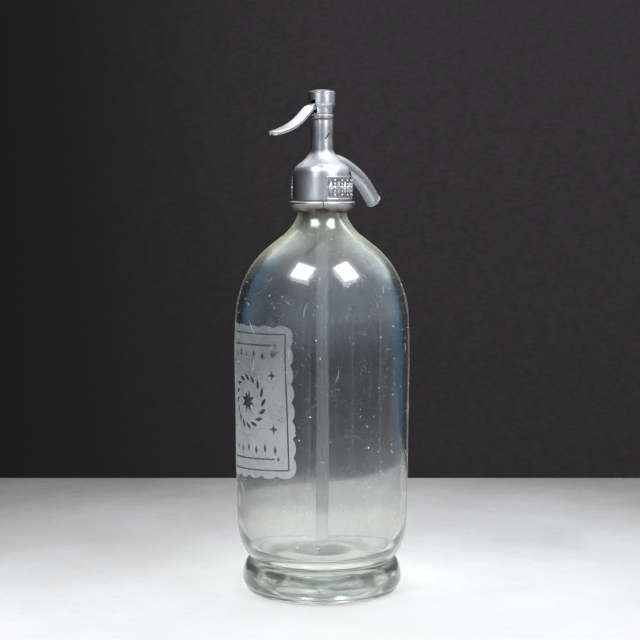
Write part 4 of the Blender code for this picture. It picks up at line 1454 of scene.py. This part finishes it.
def makeCap():
    low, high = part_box("cap")
    radius = high.x - 0.03 * mm
    seat = housing["top"] - 0.2 * mm
    rise = high.z - seat - 0.45 * mm
    domeRadius = (radius**2 + rise**2) / (2 * rise)
    angle = math.degrees(math.asin(radius / domeRadius))
    crown = arc((0, high.z - domeRadius), domeRadius, 90 - angle, 90, 12)
    outline = [
        (0, low.z),
        (6.1 * mm, low.z),
        (6.3 * mm, low.z + 0.2 * mm),
        (6.3 * mm, seat),
        (radius - 0.1 * mm, seat),
        (radius, seat + 0.12 * mm),
        *crown[:-1],
        (0, high.z),
    ]
    piece("domed_cap", spun(outline, 96, closed=False), leverMetal, "siphon", 40, ["cap"])


makeHousing()
makeCap()
print("lever housing ready")


# lever


lever = {
    "reach": 39.1 * mm,
    "drop": 16.5 * mm,
    "width": 10.9 * mm,
    "neckWidth": 3.3 * mm,
    "neckEdge": 0.35 * mm,
}
padReachShares = (0.128, 0.14, 0.175, 0.233, 0.361, 0.501, 0.629, 0.757, 0.885, 0.96, 0.99, 0.999)
padDropShares = (-0.03, -0.035, -0.005, 0.11, 0.365, 0.585, 0.732, 0.842, 0.925, 0.965, 0.985, 0.995)
padWidthShares = (0.2, 0.42, 0.68, 0.78, 0.81, 0.88, 0.955, 1.0, 0.98, 0.78, 0.52, 0.26)
# half of the pad's section: share of the half width, and depth below the crown in millimetres
padSection = (
    (0.0, 0.0), (0.4, 0.04), (0.72, 0.22), (0.9, 0.52), (0.985, 0.95), (0.975, 1.45),
    (0.955, 1.95), (0.985, 2.35), (0.955, 2.62), (0.88, 2.62), (0.82, 2.25), (0.76, 1.6), (0.5, 1.25), (0.0, 1.15),
)
# the neck's upper and lower lines from the hinge, in millimetres
neckTop = ((-2.8, 1.5), (-5.2, 0.15), (-7.2, -1.6), (-9.0, -2.9))
neckUnder = ((-9.2, -4.3), (-7.4, -4.2), (-5.2, -3.4), (-2.8, -2.4), (-1.3, -2.05))


def makeLever():
    rows = [
        (-lever["reach"] * reach, -lever["drop"] * drop, lever["width"] * width / 2)
        for reach, drop, width in zip(padReachShares, padDropShares, padWidthShares)
    ]
    line = smoothLine(rows, 3)
    slope = Vector((line[-1][0] - line[0][0], 0, line[-1][1] - line[0][1])).normalized()
    up = Vector((slope.z, 0, -slope.x))
    loops = []
    for x, z, half in line:
        top = pivot + Vector((x, 0, z))
        right = [top + Vector((0, half * share, 0)) - up * depth * mm for share, depth in padSection]
        left = [top + Vector((0, -half * share, 0)) - up * depth * mm for share, depth in padSection[1:-1]]
        loops.append(right + left[::-1])
    made = piece("thumb_lever", lofted(loops), leverMetal, "lever", 60, ["lever"])
    modifier = made.modifiers.new("smooth", "SUBSURF")
    modifier.levels = 1
    modifier.render_levels = modifier.levels


def makeLeverNeck():
    # the web between the pad and the hinge, and the tongue that lifts the stem
    nose = arc((5.4 * mm, 0), 1.0 * mm, -90, 90, 8)
    boss = arc((0, 0), 2.0 * mm, 45, 95, 5)
    top = smoothLine([(x * mm, z * mm) for x, z in neckTop], 4)
    under = smoothLine([(x * mm, z * mm) for x, z in neckUnder], 4)
    side = nose + boss + top + under + arc((0, 0), 2.0 * mm, -95, -45, 5)
    half, edge = lever["neckWidth"] / 2, lever["neckEdge"]
    tongue = 2.2 * mm  # where the tongue starts, which is narrower and has square edges
    loops = []
    for y, shrink in ((-half, edge), (-half + edge, 0.0), (half - edge, 0.0), (half, edge)):
        loop = []
        for x, z in side:
            width = 0.8 * mm / half if x > tongue else 1.0
            inward = Vector((x + 2 * mm, 0, z)).normalized() * shrink if x < tongue else Vector((0, 0, 0))
            loop.append(pivot + Vector((x, y * width, z)) - inward)
        loops.append(loop)
    piece("lever_neck", lofted(loops), leverMetal, "lever", 35)


makeLever()
makeLeverNeck()
print("lever ready")


# finishes of the small parts that keep their own shape


carried = (
    (rubber, ("tube_sleeve", "neck_gasket", "head_gasket", "valve_washer")),
    (brass, ("tube_holder", "valve_stem", "valve_cup", "piston_nut", "piston_plate")),
    (steel, ("cap_lock_screw", "return_spring", "valve_screw")),
    (packing, ("collar_packing",)),
    (leather, ("piston_leather",)),
)
for finish, names in carried:
    for name in names:
        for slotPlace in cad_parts[name].material_slots:
            slotPlace.material = finish


# camera, floor, backdrop and lamps


view = {
    "heading": math.radians(48.0),
    "pitch": math.radians(5.15),
    "distance": 866.2 * mm,
    "height": 243.4 * mm,
    "aside": 1.25 * mm,
    "sensor": 36,
    "focal": 1420 / 640 * 36,
}


def makeCamera(forward, right):
    data = bpy.data.cameras.new("photoView")
    data.lens = view["focal"]
    data.sensor_width = view["sensor"]
    data.clip_start = 0.01
    camera = inScene("photoView", data)
    camera.location = -forward * view["distance"] - right * view["aside"] + Vector((0, 0, view["height"]))
    camera.rotation_euler = (math.pi / 2 - view["pitch"], 0, -view["heading"])
    bpy.context.scene.camera = camera


floor = {
    "near": 900.0 * mm,
    "far": 330.0 * mm,
    "side": 1100.0 * mm,
    "thickness": 12.0 * mm,
    "pale": (0.777, 0.777, 0.78),
    "warm": (0.727, 0.723, 0.718),
    "grain": (0.717, 0.714, 0.712),
    "farShade": (0.113, 0.107, 0.104),
    "roundShade": (0.1, 0.098, 0.097),
    "contact": (0.42, 0.38, 0.33),
}


def makeFloorMaterial(forward, right):
    made, shader, place = startMaterial("palePlaster", (0.86, 0.86, 0.86))
    broad = cloud(stretch(place, (1, 1, 1), (0, 0, view["heading"])), 7.0, 5.0, 0.65)
    fine = cloud(place, 140.0, 4.0, 0.6)
    colour = blendColour(remap(broad, 0.3, 0.7), floor["pale"], floor["warm"])
    colour = blendColour(remap(fine, 0.55, 0.75), colour, floor["grain"])
    # the light dies away towards the far edge, sooner on the left
    side = minus(alongDirection(place, right), 60 * mm)
    spread = calc("MAXIMUM", times(side, -0.45), times(side, 0.35))
    depth = plus(alongDirection(place, forward), spread, times(minus(broad, 0.5), 0.16))
    colour = blendColour(remap(depth, -0.04, 0.55), colour, floor["farShade"])
    # and all round the object, outside what the picture shows
    away = lengthOf(stretch(place, (1, 1, 0)))
    colour = blendColour(remap(away, 0.33, 0.72), colour, floor["roundShade"])
    # a painted contact shadow on the floor round the foot
    colour = blendColour(remap(away, 41 * mm, 53 * mm, 0.42, 0.0), colour, floor["contact"])
    feed(shader, {
        "Base Color": colour,
        "Roughness": remap(fine, 0.3, 0.7, 0.6, 0.75),
        "Normal": bumped(fine, 0.12, 0.3 * mm),
    })
    return made


def makeFloor(forward, right):
    bm = bmesh.new()
    size = Matrix.Diagonal((2 * floor["side"], floor["near"] + floor["far"], floor["thickness"], 1))
    middle = forward * (floor["far"] - floor["near"]) / 2 - Vector((0, 0, floor["thickness"] / 2))
    matrix = Matrix.Translation(middle) @ Matrix.Rotation(-view["heading"], 4, "Z") @ size
    bmesh.ops.create_cube(bm, size=1, matrix=matrix)
    made = inScene("pale_floor", meshFrom("pale_floor", bm))
    made.data.materials.append(makeFloorMaterial(forward, right))


backdrop = {
    "dark": (0.0128, 0.0118, 0.0124),
    "light": (0.037, 0.0345, 0.037),
    "roomLeft": (0.3, 0.325, 0.37),
    "roomRight": (0.47, 0.51, 0.58),
    "ceiling": (0.9, 0.91, 0.93),
    "panel": (1.15, 1.16, 1.18),
    # direction, rise and the two ends of each panel's soft edge
    "panels": ((66.0, 46.0, 0.91, 0.96), (-5.0, 42.0, 0.88, 0.95)),
    "under": (0.03, 0.03, 0.031),
}


def makeWorld(forward, right):
    # a studio room: a charcoal wall behind the object, paler walls beside and in front of it
    world = bpy.data.worlds.new("studioRoom")
    bpy.context.scene.world = world
    world.use_nodes = True
    tree = world.node_tree
    direction = tree.nodes.new("ShaderNodeTexCoord").outputs["Generated"]
    ahead = alongDirection(direction, forward)
    aside = alongDirection(direction, right)
    rise = alongDirection(direction, (0, 0, 1))
    glow = times(remap(aside, -0.24, 0.04), remap(rise, -0.35, 0.2, 0.4, 1.0))
    mottle = remap(cloud(direction, 150.0, 4.0), 0.3, 0.7, 0.9, 1.1)
    weave = remap(cloud(stretch(direction, (1, 1, 2.2)), 230.0, 2.0), 0.3, 0.7, 0.86, 1.14)
    wall = blendColour(times(glow, times(mottle, weave)), backdrop["dark"], backdrop["light"])
    room = blendColour(remap(aside, -0.7, 0.7), backdrop["roomLeft"], backdrop["roomRight"])
    room = blendColour(remap(rise, -0.1, 0.04), backdrop["under"], room)
    # the charcoal wall ends further round on the left than on the right
    room = blendColour(remap(minus(ahead, times(aside, 0.6)), -0.45, 0.3), room, wall)
    overhead = times(remap(rise, 0.5, 0.95), remap(aside, -0.75, 0.1, 0.65, 1.0))
    room = blendColour(overhead, room, backdrop["ceiling"])
    # two pale panels stand high up behind the object, one on each side
    near = 0.0
    for angle, lift, low, high in backdrop["panels"]:
        angle, lift = math.radians(angle), math.radians(lift)
        centre = polar(math.cos(lift), angle, math.sin(lift))
        near = calc("MAXIMUM", remap(alongDirection(direction, centre), low, high), near)
    feed(tree.nodes["Background"], {"Color": blendColour(near, room, backdrop["panel"])})


# name, direction, rise, distance, size and power
lamps = [
    ("softboxLeft", 178.0, 56.5, 1.25, (0.7, 0.6), 1.0),
    ("softboxLeftCore", 178.5, 56.5, 1.24, (0.52, 0.46), 5.8),
    ("softboxRight", 275.6, 54.0, 1.25, (0.66, 0.62), 1.1),
    ("softboxRightCore", 275.4, 54.5, 1.24, (0.48, 0.52), 6.3),
]


def makeLamps():
    aim = Vector((0, 0, 170 * mm))
    for name, angle, rise, distance, size, power in lamps:
        data = bpy.data.lights.new(name, "AREA")
        data.shape = "RECTANGLE"
        data.size, data.size_y = size
        data.energy = power
        made = inScene(name, data)
        rise = math.radians(rise)
        away = polar(math.cos(rise), math.radians(angle), math.sin(rise))
        made.visible_camera = False
        made.location = aim + away * distance
        made.rotation_euler = away.to_track_quat("Z", "Y").to_euler()


forward = Vector((math.sin(view["heading"]), math.cos(view["heading"]), 0))
right = Vector((forward.y, -forward.x, 0))
makeCamera(forward, right)
makeFloor(forward, right)
makeWorld(forward, right)
makeLamps()
bpy.context.scene.view_settings.view_transform = "Standard"
print("stage ready")
